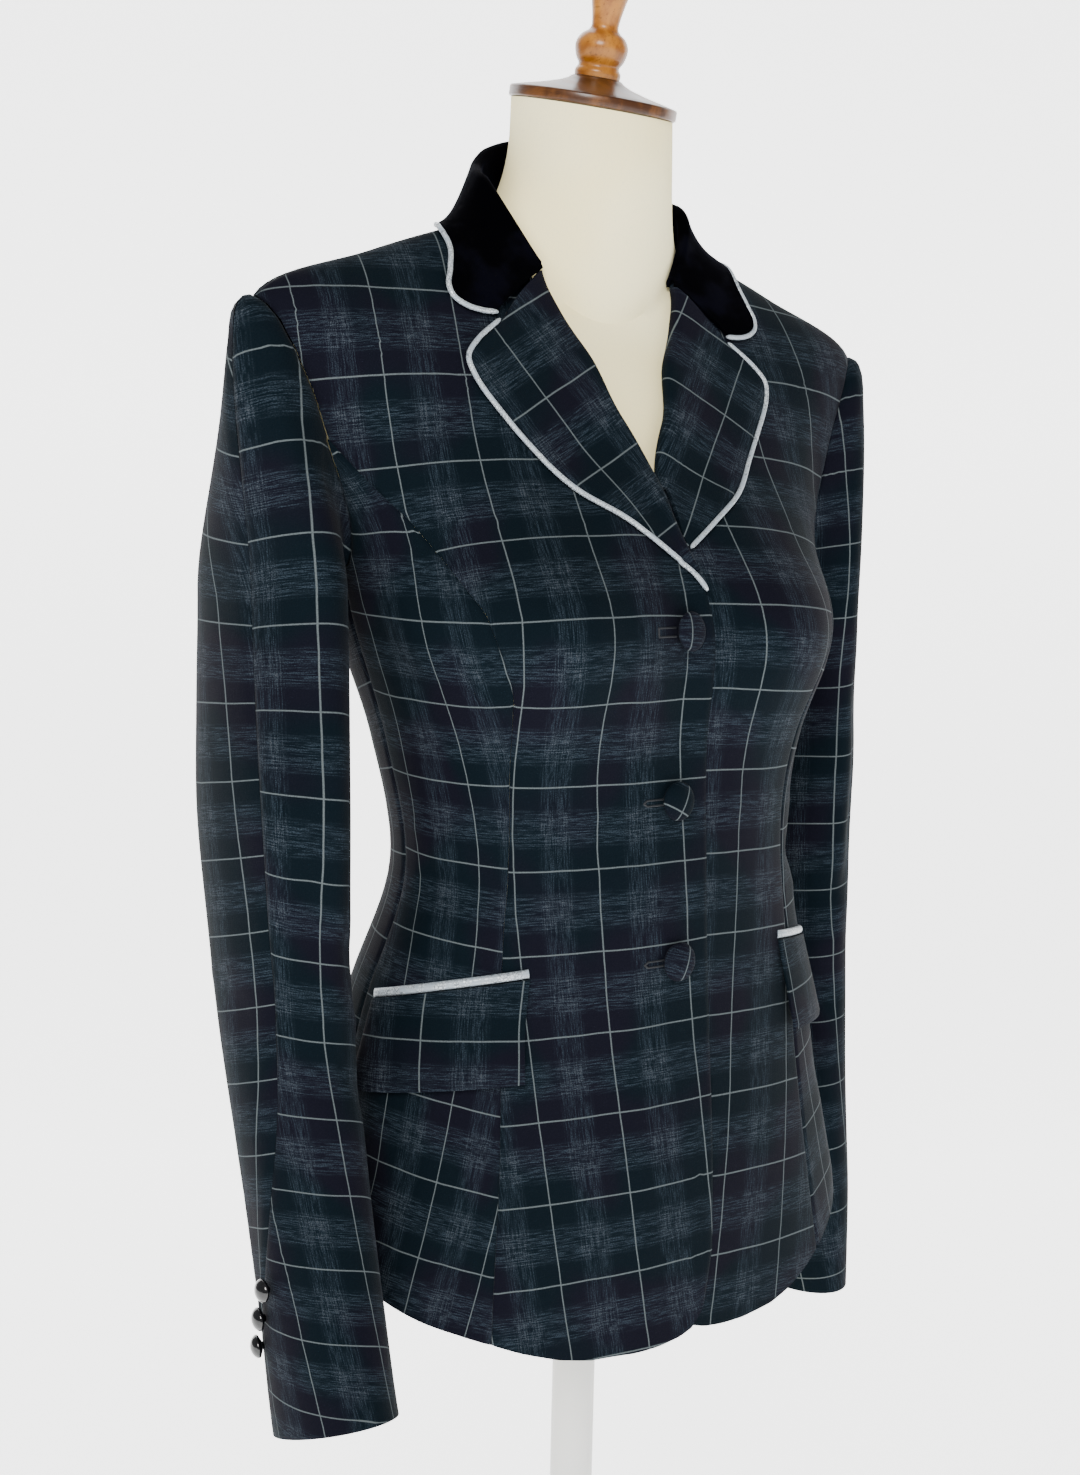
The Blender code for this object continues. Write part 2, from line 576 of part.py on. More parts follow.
def cord(name, points, radius, look):
    """A round cord along a line, with closed ends."""
    line = bpy.data.curves.new(name, "CURVE")
    line.dimensions = "3D"
    line.bevel_depth = radius
    line.bevel_resolution = 1
    line.use_fill_caps = True
    spline = line.splines.new("POLY")
    spline.points.add(len(points) - 1)
    for point, place in zip(spline.points, points):
        point.co = (*place, 1)
    line.materials.append(look)
    made = bpy.data.objects.new(name, line)
    COAT.objects.link(made)
    return made


def stack(name, rings, look):
    """Closed rings joined into one solid, with flat ends."""
    count = len(rings[0])
    faces = [tuple(range(count))[::-1]]
    for i in range(len(rings) - 1):
        for j in range(count):
            k = (j + 1) % count
            a, b = i * count, (i + 1) * count
            faces.append((a + j, a + k, b + k, b + j))
    faces.append(tuple((len(rings) - 1) * count + j for j in range(count)))
    return add(name, np.concatenate(rings), faces, look)


def turned(name, profile, sides, place, axis, look):
    """A turned solid on an axis from a place, made by Screw from (height, radius) rows
    that run from its foot to its top."""
    rows = [(profile[-1][0], 0.0), *reversed(profile), (profile[0][0], 0.0)]
    mesh = bpy.data.meshes.new(name)
    edges = [(i, i + 1) for i in range(len(rows) - 1)]
    mesh.from_pydata([(radius, 0, height) for height, radius in rows], edges, [])
    mesh.materials.append(look)
    made = bpy.data.objects.new(name, mesh)
    COAT.objects.link(made)
    screw = made.modifiers.new("turn", "SCREW")
    screw.steps = sides
    screw.render_steps = sides
    screw.use_merge_vertices = True
    screw.merge_threshold = 0.0001
    made.location = place
    made.rotation_mode = "QUATERNION"
    made.rotation_quaternion = Vector((0, 0, 1)).rotation_difference(Vector(axis))
    return made


for old in list(bpy.data.objects):
    bpy.data.objects.remove(old, do_unlink=True)
COAT = bpy.data.collections.new("equestrian_show_coat")
bpy.context.scene.collection.children.link(COAT)

check = material("check_cloth", (0.018, 0.024, 0.030), 0.85)
velvet = material("velvet", (0.008, 0.009, 0.016), 0.90)
satin = material("satin", (0.52, 0.56, 0.62), 0.35)
gloss = material("button_gloss", (0.010, 0.010, 0.011), 0.12)
jersey = material("jersey", (0.78, 0.73, 0.62), 0.80)
walnut = material("walnut", (0.16, 0.075, 0.035), 0.35)
oak = material("oak", (0.45, 0.25, 0.11), 0.35)
iron = material("base_paint", (0.60, 0.60, 0.58), 0.45)

# Body panels, from the inside of the cloth outwards.
for side, word in ((-1, "right"), (1, "left")):
    for name, (angle, level) in (
        ("front", front_panel()), ("side_front", side_panel()), ("back", back_panel())
    ):
        off = lift(side, angle, level) if name == "front" else 0.0
        inner = on_side(side, body(angle, level, off))
        outer = on_side(side, body(angle, level, off + CLOTH))
        wall(f"{name}_{word}", inner, outer, check, side < 0)

# Sleeves, each in two halves that meet at the outer seam and under the arm.
for side, word in ((-1, "right"), (1, "left")):
    for half, columns in (("front", 15), ("back", 13)):
        outer = sleeve_points(side, half, columns, 0.0)
        inner = sleeve_points(side, half, columns, CLOTH)
        wall(f"sleeve_{half}_{word}", inner, outer, check, side > 0)

# Lapels and collar, with the piping outside their free edges.
for side, word in ((-1, "right"), (1, "left")):
    grid = lapel_points(side, 15)
    sheet(f"lapel_{word}", grid, CLOTH, 0, check, side < 0)
    start = lapel_share(side, [1.0])[0] if side > 0 else 0.03
    line = run(LAPEL_EDGE, np.linspace(start, 0.985, 26))
    line = beside(line, -PIPING_RADIUS)
    off = EDGE_OFF + lift(side, line[:, 0], line[:, 1])
    line = on_side(side, body(line[:, 0], line[:, 1], off))
    cord(f"lapel_piping_{word}", line, PIPING_RADIUS, satin)

sheet("collar", collar_points(17), CLOTH, 0, velvet, True)
line = run(COLLAR_EDGE, np.linspace(0.012, 1, 25))
line = beside(line, -PIPING_RADIUS)
line = body(line[:, 0], line[:, 1], EDGE_OFF)
line = np.concatenate([on_side(-1, line), line[-2::-1]])
cord("collar_piping", line, PIPING_RADIUS, satin)

# Flaps, hanging free from their top edge, and the satin strip along that edge.
for side, word in ((-1, "right"), (1, "left")):
    flip = side < 0
    shares = np.linspace(0, 1, 9)
    top = run(FLAP_TOP, shares)
    foot = run(FLAP_FOOT, shares)
    rows = []
    for share in np.linspace(0, 1, 5):
        place = foot + (top - foot) * share
        off = 0.0024 + 0.0046 * (1 - share) ** 1.5
        rows.append(body(place[:, 0], place[:, 1], off))
    sheet(f"flap_{word}", on_side(side, np.stack(rows)), CLOTH, 1, check, flip)
    low = beside(top, -0.0006)
    high = beside(top, -0.0052)
    strip = np.stack([body(low[:, 0], low[:, 1], 0.0023), body(high[:, 0], high[:, 1], 0.0023)])
    sheet(f"flap_strip_{word}", on_side(side, strip), 0.0022, 1, satin, flip)

# Front buttons on the right front, over the centre line.
for name, level, stand_off in FRONT_BUTTONS:
    base = body(BUTTON_LINE, level, LAP + CLOTH + stand_off) * [-1, 1, 1]
    outward = (body(BUTTON_LINE, level, 0.01) - body(BUTTON_LINE, level)) * [-1, 1, 1]
    profile = [(h * BUTTON_RISE, r * BUTTON_RADIUS) for h, r in FRONT_BUTTON]
    turned(f"button_{name}", profile, 20, base, outward, check)

# Cuff buttons beside the outer seam, which is at the back edge of each cuff.
for side, word in ((-1, "right"), (1, "left")):
    for number, (height, inside_right, inside_left) in enumerate(CUFF_BUTTONS, 1):
        z = (CUFF_RIGHT if side < 0 else CUFF_LEFT) + height
        seam = sleeve_seam(side, z) + 16.0
        points, upward = sleeve_ring(side, z, np.array([seam - 3, seam, seam + 3]))
        outward = np.cross(points[2] - points[0], upward) * -side
        outward /= np.linalg.norm(outward)
        profile = [(h * CUFF_BUTTON_RISE, r * CUFF_BUTTON_RADIUS) for h, r in CUFF_BUTTON]
        place = points[1] - outward * (inside_right if side < 0 else inside_left)
        turned(f"cuff_button_{word}_{number}", profile, 12, place, outward, gloss)

# The form: torso with closed arm ends, and a round neck up to the tilted cap.
turn = np.arange(0, 360, 15)
rings = []
for level, inset in FORM_INSET:
    ring = body(turn, level, -inset)
    over = np.abs(ring[:, 0]) - (ARM_END - 0.012)
    held = np.where(over > 0, 0.012 * np.tanh(over / 0.012), over) + ARM_END - 0.012
    ring[:, 0] = np.sign(ring[:, 0]) * held
    rings.append(ring)
rings[0][:, 2] = rings[0][:, 2].mean()
tilt = math.radians(CAP_TILT)
cap_up = np.array([0, -math.sin(tilt), math.cos(tilt)])
cap_back = np.array([0, math.cos(tilt), math.sin(tilt)])
cap_centre = np.array(CAP_CENTRE)
across = np.sin(np.radians(turn))[:, None] * np.array([1.0, 0, 0])
backward = -np.cos(np.radians(turn))[:, None] * cap_back
end = cap_centre - cap_up * 0.0004 + (across + backward) * (CAP_RADIUS - 0.0015)
before = end + (across + backward) * 0.0004 - np.array([0, 0, 0.016])
last = rings[-1]
for share in (0.2, 0.45, 0.72):
    rings.append(
        (1 - share) ** 2 * last + 2 * share * (1 - share) * (before + across * 0.001 - [0, 0, 0.03])
        + share**2 * before
    )
rings += [before, end]
stack("form", rings, jersey)
turned("neck_cap", CAP_PROFILE, 28, cap_centre, cap_up, walnut)
finial_place = cap_centre + cap_up * (CAP_PROFILE[-1][0] + 0.0003)
turned("finial", FINIAL, 16, finial_place, cap_up, oak)

# The pole and its base, finished plainly.
bottom = float(rings[0][0, 2])
turned("pole", ((0.0425, POLE_RADIUS), (bottom - 0.0003, POLE_RADIUS)), 20, (0, 0, 0),
       (0, 0, 1), iron)
turned("base", BASE_PROFILE, 24, (0, 0, 0), (0, 0, 1), iron)
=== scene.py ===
# %% [markdown]
# # A riding show coat on a dress form
# The real coat is cut from a dark wool check, with a black velvet collar and pale satin piping,
# and it is buttoned on a torso that stands on a pole. The packed model already holds every
# piece at its real size and place. Here each piece is made again with a finer surface, its
# creases and its finish, and it takes the place of its plain solid.

# %% Load the packed frame
import json
import math

import bpy
import numpy as np
from mathutils import Matrix

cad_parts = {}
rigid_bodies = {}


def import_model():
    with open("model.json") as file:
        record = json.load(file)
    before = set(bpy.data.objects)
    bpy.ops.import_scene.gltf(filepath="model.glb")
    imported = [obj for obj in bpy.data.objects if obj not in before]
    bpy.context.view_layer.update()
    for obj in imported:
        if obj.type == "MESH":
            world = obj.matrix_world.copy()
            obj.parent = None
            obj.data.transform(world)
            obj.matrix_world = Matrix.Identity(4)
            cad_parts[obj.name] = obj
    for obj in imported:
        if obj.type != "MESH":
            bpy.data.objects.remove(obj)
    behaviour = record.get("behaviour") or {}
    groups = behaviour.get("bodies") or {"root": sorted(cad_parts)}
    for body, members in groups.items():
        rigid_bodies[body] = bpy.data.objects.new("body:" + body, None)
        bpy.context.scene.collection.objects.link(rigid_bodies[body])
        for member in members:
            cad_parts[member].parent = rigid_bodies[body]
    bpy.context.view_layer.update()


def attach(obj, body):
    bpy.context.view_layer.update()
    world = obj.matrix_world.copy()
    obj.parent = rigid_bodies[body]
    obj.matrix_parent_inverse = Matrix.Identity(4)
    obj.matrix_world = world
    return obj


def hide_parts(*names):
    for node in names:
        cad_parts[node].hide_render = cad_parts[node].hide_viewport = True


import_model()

# %% [markdown]
# ## The camera
# A photograph taken from about a metre away has a strong perspective, so the distance matters
# as much as the angle. The camera stands to the wearer's right, a little above the waist,
# looks slightly down, and is rolled by about a degree. Its axes are worked out as three
# vectors and put into one matrix, which is easier to check than three angles.

# %% Camera
VIEW_TURN, VIEW_DROP, VIEW_ROLL = np.radians((35.5, 6.8, 1.2))
VIEW_DISTANCE, VIEW_ASIDE, VIEW_HEIGHT = 0.976, 0.0277, 1.200
LENS = 42.2  # millimetres, on a 36 mm sensor along the picture's long side


def photo_axes():
    """The camera's right, up and backward directions."""
    right = np.array([math.cos(VIEW_TURN), -math.sin(VIEW_TURN), 0])
    level = np.array([math.sin(VIEW_TURN), math.cos(VIEW_TURN), 0])
    ahead = level * math.cos(VIEW_DROP) - np.array([0, 0, math.sin(VIEW_DROP)])
    up = level * math.sin(VIEW_DROP) + np.array([0, 0, math.cos(VIEW_DROP)])
    rolled_right = right * math.cos(VIEW_ROLL) + up * math.sin(VIEW_ROLL)
    rolled_up = up * math.cos(VIEW_ROLL) - right * math.sin(VIEW_ROLL)
    place = -level * VIEW_DISTANCE - right * VIEW_ASIDE + np.array([0, 0, VIEW_HEIGHT])
    return rolled_right, rolled_up, -ahead, place


camera = bpy.data.objects.new("camera", bpy.data.cameras.new("camera"))
bpy.context.scene.collection.objects.link(camera)
camera.data.lens = LENS
camera.data.sensor_width = 36.0
camera.matrix_world = Matrix(np.stack(photo_axes(), 1).tolist() + [[0, 0, 0, 1]])
bpy.context.scene.camera = camera
print("camera at", [round(x, 3) for x in camera.matrix_world.translation])

# %% [markdown]
# ## Floor, backdrop and light
# Dark cloth shows its weave only in broad, soft light. One large lamp beside the camera
# lights the front, a much weaker one fills the far side, a third above draws the shoulders,
# and a pale world fills the rest. The floor runs up into a wall with no corner, so no horizon
# cuts through the picture, and it glows a little, so that it comes out nearly white.

# %% Stage and lights
FLOOR_HALF, WALL_START, WALL_HEIGHT, BEND_RADIUS = 6.0, 2.2, 5.0, 1.5
WORLD_COLOUR, WORLD_STRENGTH = (0.96, 0.975, 1.0, 1), 0.40
LIGHTS = (  # name, place, size, power, colour; each looks at the chest
    ("key", (-1.9, -2.1, 2.5), 1.3, 124.0, (1.0, 0.985, 0.95)),
    ("fill", (2.3, -1.7, 1.5), 1.8, 2.5, (0.95, 0.975, 1.0)),
    ("top", (0.2, 1.2, 3.0), 1.6, 22.0, (1.0, 1.0, 1.0)),
)
LIT_POINT = np.array([0.0, 0.0, 1.15])


def face_towards(place, target):
    """A matrix that stands at place, with its -Z axis on the target."""
    back = np.asarray(place, float) - target
    back /= np.linalg.norm(back)
    right = np.cross([0, 0, 1.0], back)
    right /= np.linalg.norm(right)
    up = np.cross(back, right)
    return Matrix(np.stack([right, up, back, place], 1).tolist() + [[0, 0, 0, 1]])


def sweep_backdrop():
    """A floor that bends up into a wall behind the form, in the camera's own direction."""
    bend = np.radians(np.linspace(-90, 0, 13))
    distance = [-FLOOR_HALF, *(WALL_START + BEND_RADIUS * np.cos(bend)),
                WALL_START + BEND_RADIUS]
    height = [0.0, *(BEND_RADIUS + BEND_RADIUS * np.sin(bend)), WALL_HEIGHT]
    ahead = np.array([math.sin(VIEW_TURN), math.cos(VIEW_TURN), 0])
    side = np.array([ahead[1], -ahead[0], 0])
    points = [
        ahead * d + side * s + np.array([0, 0, h])
        for d, h in zip(distance, height) for s in (-FLOOR_HALF, FLOOR_HALF)
    ]
    faces = [(2 * i, 2 * i + 1, 2 * i + 3, 2 * i + 2) for i in range(len(height) - 1)]
    mesh = bpy.data.meshes.new("floor")
    mesh.from_pydata([tuple(p) for p in points], [], faces)
    mesh.shade_smooth()
    made = bpy.data.objects.new("floor", mesh)
    bpy.context.scene.collection.objects.link(made)
    return made


floor = sweep_backdrop()
for name, place, size, power, colour in LIGHTS:
    lamp = bpy.data.lights.new(name, "AREA")
    lamp.shape = "DISK"
    lamp.size = size
    lamp.energy = power
    lamp.color = colour
    holder = bpy.data.objects.new(name, lamp)
    holder.matrix_world = face_towards(place, LIT_POINT)
    bpy.context.scene.collection.objects.link(holder)
world = bpy.data.worlds.new("studio")
world.use_nodes = True
sky = world.node_tree.nodes["Background"].inputs
sky["Color"].default_value = WORLD_COLOUR
sky["Strength"].default_value = WORLD_STRENGTH
bpy.context.scene.world = world
print("lights:", [row[0] for row in LIGHTS])

# %% [markdown]
# ## Curves and tables
# The shapes come from short tables, a row for each section, and a smooth curve runs through
# each column. A cubic that passes through its knots keeps every listed size exact.


# %% Curves through tables
def smooth(knots, values, at):
    """A cubic curve through the knots of a table."""
    knots = np.asarray(knots, float)
    values = np.asarray(values, float)
    at = np.clip(np.asarray(at, float), knots[0], knots[-1])
    slope = np.gradient(values, knots)
    i = np.clip(np.searchsorted(knots, at, side="right") - 1, 0, len(knots) - 2)
    step = knots[i + 1] - knots[i]
    t = (at - knots[i]) / step
    return (
        (2 * t**3 - 3 * t**2 + 1) * values[i]
        + (t**3 - 2 * t**2 + t) * step * slope[i]
        + (3 * t**2 - 2 * t**3) * values[i + 1]
        + (t**3 - t**2) * step * slope[i + 1]
    )


def along(curve, at):
    """The second column of a two-column curve, where its first column is `at`."""
    return np.interp(at, [row[0] for row in curve], [row[1] for row in curve])


def ease(low, high, value):
    """0 below low, 1 above high, and a soft step between."""
    t = np.clip((np.asarray(value, float) - low) / (high - low), 0, 1)
    return t * t * (3 - 2 * t)


def column(table, names, name, at):
    """One named column of a table, as a smooth curve over its first column."""
    i = names.index(name)
    return smooth([row[0] for row in table], [row[i] for row in table], at)


def between(values, parts):
    """The values, with each step cut into equal parts."""
    at = np.arange((len(values) - 1) * parts + 1) / parts
    return np.interp(at, np.arange(len(values)), values)


print("half way up a soft step:", float(ease(0, 1, 0.5)))

# %% [markdown]
# ## The shape of the coat's body
# A fitted coat is a tube that narrows at the waist, rounds over the bust and opens to the
# shoulders. One closed ring is given for each level, and the rings between are smooth. Every
# point is named by its angle from the centre front and its level, so a seam, a roll line or a
# flap is a short list of such pairs, and stays on the cloth whatever the cloth's shape.

# %% Body rings and the curves on them
CLOTH = 0.0020  # wall of the check cloth with its interlining
SEAM = 0.00016  # gap between two panels; the rolled edges make the visible groove
LAP = 0.0028  # how far the right front stands off the left one under it
ROLL_SPACE = 0.0046  # the front panel ends this far from the roll line of its lapel
PIPING_RADIUS = 0.0015  # half the room that the piping takes along an edge
EDGE_OFF = 0.0048  # mid-line of the lapels' and collar's free edges, off the body
PIPED = 2 * PIPING_RADIUS + 0.0002  # the cloth ends this far inside its piped edge
BODY_COLUMNS = ("level", "z_front", "z_side", "z_back", "half_width",
                "front", "back", "middle", "squareness")
BODY = (
    (0.0, 0.740, 0.740, 0.740, 0.1900, -0.1060, 0.128, -0.006, 2.10),  # below hem
    (1.0, 0.800, 0.800, 0.800, 0.1760, -0.0990, 0.118, -0.006, 2.10),  # hem
    (2.0, 0.870, 0.870, 0.870, 0.1590, -0.0920, 0.108, -0.006, 2.10),  # hip
    (3.0, 0.945, 0.945, 0.945, 0.1455, -0.0825, 0.098, -0.009, 2.10),  # flaps
    (4.0, 1.020, 1.020, 1.020, 0.1245, -0.0785, 0.076, -0.016, 2.10),  # waist
    (5.0, 1.090, 1.090, 1.090, 0.1320, -0.0725, 0.084, -0.008, 2.20),  # ribs
    (6.0, 1.150, 1.150, 1.150, 0.1480, -0.0755, 0.093, -0.002, 2.50),  # bust
    (7.0, 1.198, 1.198, 1.198, 0.1570, -0.0610, 0.100, 0.006, 2.10),  # armpit
    (8.0, 1.232, 1.258, 1.255, 0.1840, -0.0460, 0.100, 0.011, 1.75),  # chest
    (9.0, 1.262, 1.311, 1.300, 0.2020, -0.0370, 0.092, 0.012, 1.45),  # shoulder tip
    (10.0, 1.290, 1.340, 1.345, 0.1350, -0.0240, 0.074, 0.014, 1.60),  # shoulder
    (11.0, 1.315, 1.364, 1.383, 0.0660, -0.0100, 0.056, 0.016, 2.00),  # neck
)
TOP_LEVEL, LEVEL_STEP = 11.0, 0.04  # the last ring, and the step that gives a slope
BUST_ACROSS, BUST_HEIGHT, BUST_DEPTH = 0.080, 1.145, 0.022
BUST_WIDE, BUST_TALL = 0.042, 0.046
ROWS = (0.80, 1.20, 1.65, 2.10, 2.55, 3.00, 3.45, 3.90, 4.35, 4.80, 5.25, 5.65,
        6.05, 6.35, 6.62, 6.90, 7.20, 7.48, 7.77, 8.08, 8.34, 8.58, 8.76, 8.90,
        9.02, 9.35, 9.75, 10.10, 10.40, 10.65, 10.84, 10.985)
BUST_LEVEL = 6.05  # above it, the side front's rows drop towards the underarm
JUNCTION = 7.77  # level where the princess seam runs into the armhole
SHOULDER = 9.02  # level where the armhole ends at the shoulder seam
SIDE = 95.0  # angle of the side seam
# Curves as (level, angle).
FRONT_EDGE = ((0.55, 4.0), (0.62, -0.6), (0.80, -3.0), (1.20, -5.3), (1.80, -6.5),
              (2.40, -7.5), (3.05, -8.4), (3.60, -8.8), (4.20, -9.3), (4.75, -9.0),
              (5.60, -7.5), (6.23, -6.1))
PRINCESS = ((0.80, 38.9), (1.70, 40.3), (2.60, 41.7), (3.31, 44.8), (3.75, 48.0),
            (4.10, 48.4), (4.70, 46.7), (5.48, 44.5), (6.17, 47.0), (6.86, 55.9),
            (7.12, 59.5), (7.46, 67.5), (7.77, 75.3))
ARMHOLE_FRONT = ((7.77, 75.3), (8.20, 74.9), (8.55, 76.0), (8.80, 79.5), (8.93, 84.0),
                 (9.02, 90.0), (11.0, 90.0))
ARMHOLE_BACK = ((0.0, SIDE), (6.60, SIDE), (6.70, 103.0), (6.95, 112.0), (7.40, 119.0),
                (7.95, 121.0), (8.40, 117.0), (8.75, 108.0), (8.92, 99.0),
                (9.02, 90.0), (11.0, 90.0))
# Curves as (angle, level).
HEM = ((-3.0, 0.80), (-1.2, 0.67),
       (0.5, 0.59), (3.0, 0.545), (7.0, 0.515), (12.0, 0.50), (20.0, 0.515),
       (26.0, 0.57), (33.0, 0.67), (39.0, 0.77), (46.0, 0.87), (54.0, 0.97),
       (66.0, 1.14), (80.0, 1.26), (95.0, 1.28), (120.0, 1.20), (150.0, 1.10),
       (180.0, 1.06))
UNDERARM = ((76.0, 7.77), (77.4, 7.42), (80.5, 7.10), (85.0, 6.84), (90.0, 6.66),
            (95.0, 6.60))
ROLL = ((-6.1, 6.23), (-3.3, 6.72), (-1.3, 7.10), (0.3, 7.72), (4.0, 8.85),
        (13.3, 10.10), (26.0, 10.62), (42.2, 10.97))
LAPEL_EDGE = ((-6.0, 6.23), (-2.8, 6.49), (3.0, 6.74), (12.6, 7.18), (20.0, 7.58),
              (25.0, 8.10), (29.5, 8.60), (34.3, 8.98), (37.0, 9.20), (38.2, 9.50),
              (38.6, 9.96))
COLLAR_EDGE = ((38.85, 9.99), (42.5, 9.88), (47.0, 9.82), (51.5, 9.84), (55.5, 9.93),
               (61.0, 10.15), (70.0, 10.38), (90.0, 10.55), (120.0, 10.62),
               (150.0, 10.60), (180.0, 10.60))
NECKLINE = ((42.4, 11.0), (60.0, 11.0), (90.0, 11.0), (135.0, 11.0), (180.0, 11.0))
FLAP_TOP = ((37.9, 3.34), (57.6, 3.27), (89.0, 3.13))
FLAP_FOOT = ((36.9, 2.64), (57.6, 2.60), (88.0, 2.51))


def inner_body(angle, level):
    """A point on the inside of the coat's cloth."""
    turn = np.radians(angle)
    c = np.cos(turn)
    s = np.sin(turn)
    power = column(BODY, BODY_COLUMNS, "squareness", level)
    reach = (np.abs(c) ** power + np.abs(s) ** power) ** (-1 / power)
    middle = column(BODY, BODY_COLUMNS, "middle", level)
    front = column(BODY, BODY_COLUMNS, "front", level)
    back = column(BODY, BODY_COLUMNS, "back", level)
    z_side = column(BODY, BODY_COLUMNS, "z_side", level)
    z_front = column(BODY, BODY_COLUMNS, "z_front", level)
    z_back = column(BODY, BODY_COLUMNS, "z_back", level)
    x = column(BODY, BODY_COLUMNS, "half_width", level) * s * reach
    y = middle + (np.where(c > 0, front, back) - middle) * np.abs(c) * reach
    z = z_side + (np.where(c > 0, z_front, z_back) - z_side) * c * c
    bust = BUST_DEPTH * np.clip(1.6 * c, 0, 1) * np.exp(
        -(((np.abs(x) - BUST_ACROSS) / BUST_WIDE) ** 2) / 2
        - ((z - BUST_HEIGHT) / BUST_TALL) ** 2 / 2
    )
    return np.stack([x, y - bust, z], -1)


def steps_on_body(angle, level):
    """How a point on the body moves, in metres, for each degree and for each level."""
    level = np.asarray(level, float)
    high = np.minimum(level + LEVEL_STEP / 2, TOP_LEVEL)
    low = high - LEVEL_STEP
    across = inner_body(angle + 0.5, level) - inner_body(angle - 0.5, level)
    up = (inner_body(angle, high) - inner_body(angle, low)) / LEVEL_STEP
    return across, up


def body(angle, level, off=0.0):
    """A point `off` metres outside inner_body, along its normal."""
    angle, level, off = np.broadcast_arrays(
        np.asarray(angle, float), np.asarray(level, float), np.asarray(off, float)
    )
    across, up = steps_on_body(angle, level)
    normal = np.cross(across, up)
    normal /= np.linalg.norm(normal, axis=-1, keepdims=True)
    return inner_body(angle, level) + normal * off[..., None]


def body_at(places, off=0.0):
    """Points of the body at (angle, level) places."""
    return body(places[:, 0], places[:, 1], off)


waist = body(np.array([0.0, 90.0, 180.0]), 4.0, CLOTH)
print("waist, front to back:", round(float(np.ptp(waist[:, 1])), 3), "half width:",
      round(float(waist[1, 0]), 3))


# %% Moving along and beside a curve on the body
def run(points, at):
    """(angle, level) at shares `at` of the length of a curve on the body."""
    points = np.asarray(points, float)
    steps = np.linalg.norm(np.diff(inner_body(points[:, 0], points[:, 1]), axis=0), axis=1)
    length = np.concatenate([[0], np.cumsum(steps)])
    length /= length[-1]
    return np.stack([smooth(length, points[:, 0], at), smooth(length, points[:, 1], at)], -1)


def beside(points, distance):
    """A curve on the body moved sideways by `distance` metres: to the right of the way
    it runs, seen from outside, or to the left where the distance is negative."""
    points = np.asarray(points, float)
    across, up = steps_on_body(points[:, 0], points[:, 1])
    place = inner_body(points[:, 0], points[:, 1])
    right = np.cross(np.gradient(place, axis=0), np.cross(across, up))
    right *= np.asarray(distance, float).reshape(-1, 1) / np.linalg.norm(
        right, axis=1, keepdims=True
    )
    moved = points.copy()
    for i in range(len(points)):
        ways = np.stack([across[i], up[i]], 1)
        moved[i] += np.linalg.lstsq(ways, right[i], rcond=None)[0]
    return moved


def degrees_for(distance, angle, level):
    """How many degrees round the body `distance` metres are."""
    across, _ = steps_on_body(angle, level)
    return distance / np.maximum(np.linalg.norm(across, axis=-1), 1e-5)


SIDES = {-1: "right", 1: "left"}  # the wearer's


def on_side(side, points):
    """The points, mirrored for the wearer's right."""
    return np.asarray(points) * np.array([side, 1, 1])


ROLL_FINE = run(ROLL, np.linspace(0, 1, 120))
PANEL_AT_ROLL = beside(ROLL_FINE, ROLL_SPACE * ease(6.3, 7.0, ROLL_FINE[:, 1]))
LAPEL_CLOTH = beside(run(LAPEL_EDGE, np.linspace(0, 1, 60)), -PIPED)
COLLAR_CLOTH = beside(run(COLLAR_EDGE, np.linspace(0, 1, 60)), -PIPED)
print("roll line runs to level", round(float(ROLL_FINE[-1, 1]), 2))

# %% [markdown]
# ## Panels
# A tailor cuts the body in six panels: two fronts, two side fronts and two backs. Each one
# fills the space between two seams, so its grid of points is worked out from the seams'
# curves. Columns lie closer together beside a seam, where the cloth rolls over into it.

# %% Panel grids
LEVELS = between(ROWS, 4)
SEAM_SHARES = (0.0, 0.006, 0.015, 0.030)
SEAM_END = 0.055  # share of the first column that isn't part of a seam
HEM_FADE = 2.6  # level above which a row no longer follows the hem


def seamed_shares(count):
    """Shares across a panel, closer together at both seams."""
    middle = np.linspace(SEAM_END, 1 - SEAM_END, count - 2 * len(SEAM_SHARES))
    return np.concatenate([SEAM_SHARES, middle, 1 - np.array(SEAM_SHARES[::-1])])


def panel(first, last, top, count, levels):
    """(angle, level) grids of a body panel between two edge curves, from the hem up, and
    the levels they were made from. `first` and `last` give the angle of an edge at a
    level; `top` gives the level of the upper edge at an angle."""
    rows = levels[:, None]
    shares = seamed_shares(count)[None, :]
    level = np.broadcast_to(rows, (rows.shape[0], shares.shape[1])).copy()
    fade = 1 - ease(rows[0, 0], HEM_FADE, rows)
    for _ in range(12):
        a = first(level[:, :1])
        b = last(level[:, -1:])
        a = a + degrees_for(SEAM / 2, a, level[:, :1])
        b = b - degrees_for(SEAM / 2, b, level[:, -1:])
        angle = a + (b - a) * shares
        level = rows + (along(HEM, angle) - rows[0, 0]) * fade
        if top is not None:
            squeeze = (along(top, angle[-1:]) - BUST_LEVEL) / (JUNCTION - BUST_LEVEL)
            lowered = BUST_LEVEL + (rows - BUST_LEVEL) * squeeze
            level = np.where(rows > BUST_LEVEL, lowered, level)
    return (angle, level), levels


def centre_boundary(level):
    """Angle of the front panel's free edge: the front edge, then along the roll line."""
    at_roll = np.interp(level, PANEL_AT_ROLL[:, 1], PANEL_AT_ROLL[:, 0])
    return np.where(level < FRONT_EDGE[-1][0], along(FRONT_EDGE, level), at_roll)


def front_side(level):
    """Angle of the front panel's other edge: princess seam, armhole, shoulder seam."""
    armhole = along(ARMHOLE_FRONT, level)
    return np.where(level < JUNCTION, along(PRINCESS, level), armhole)


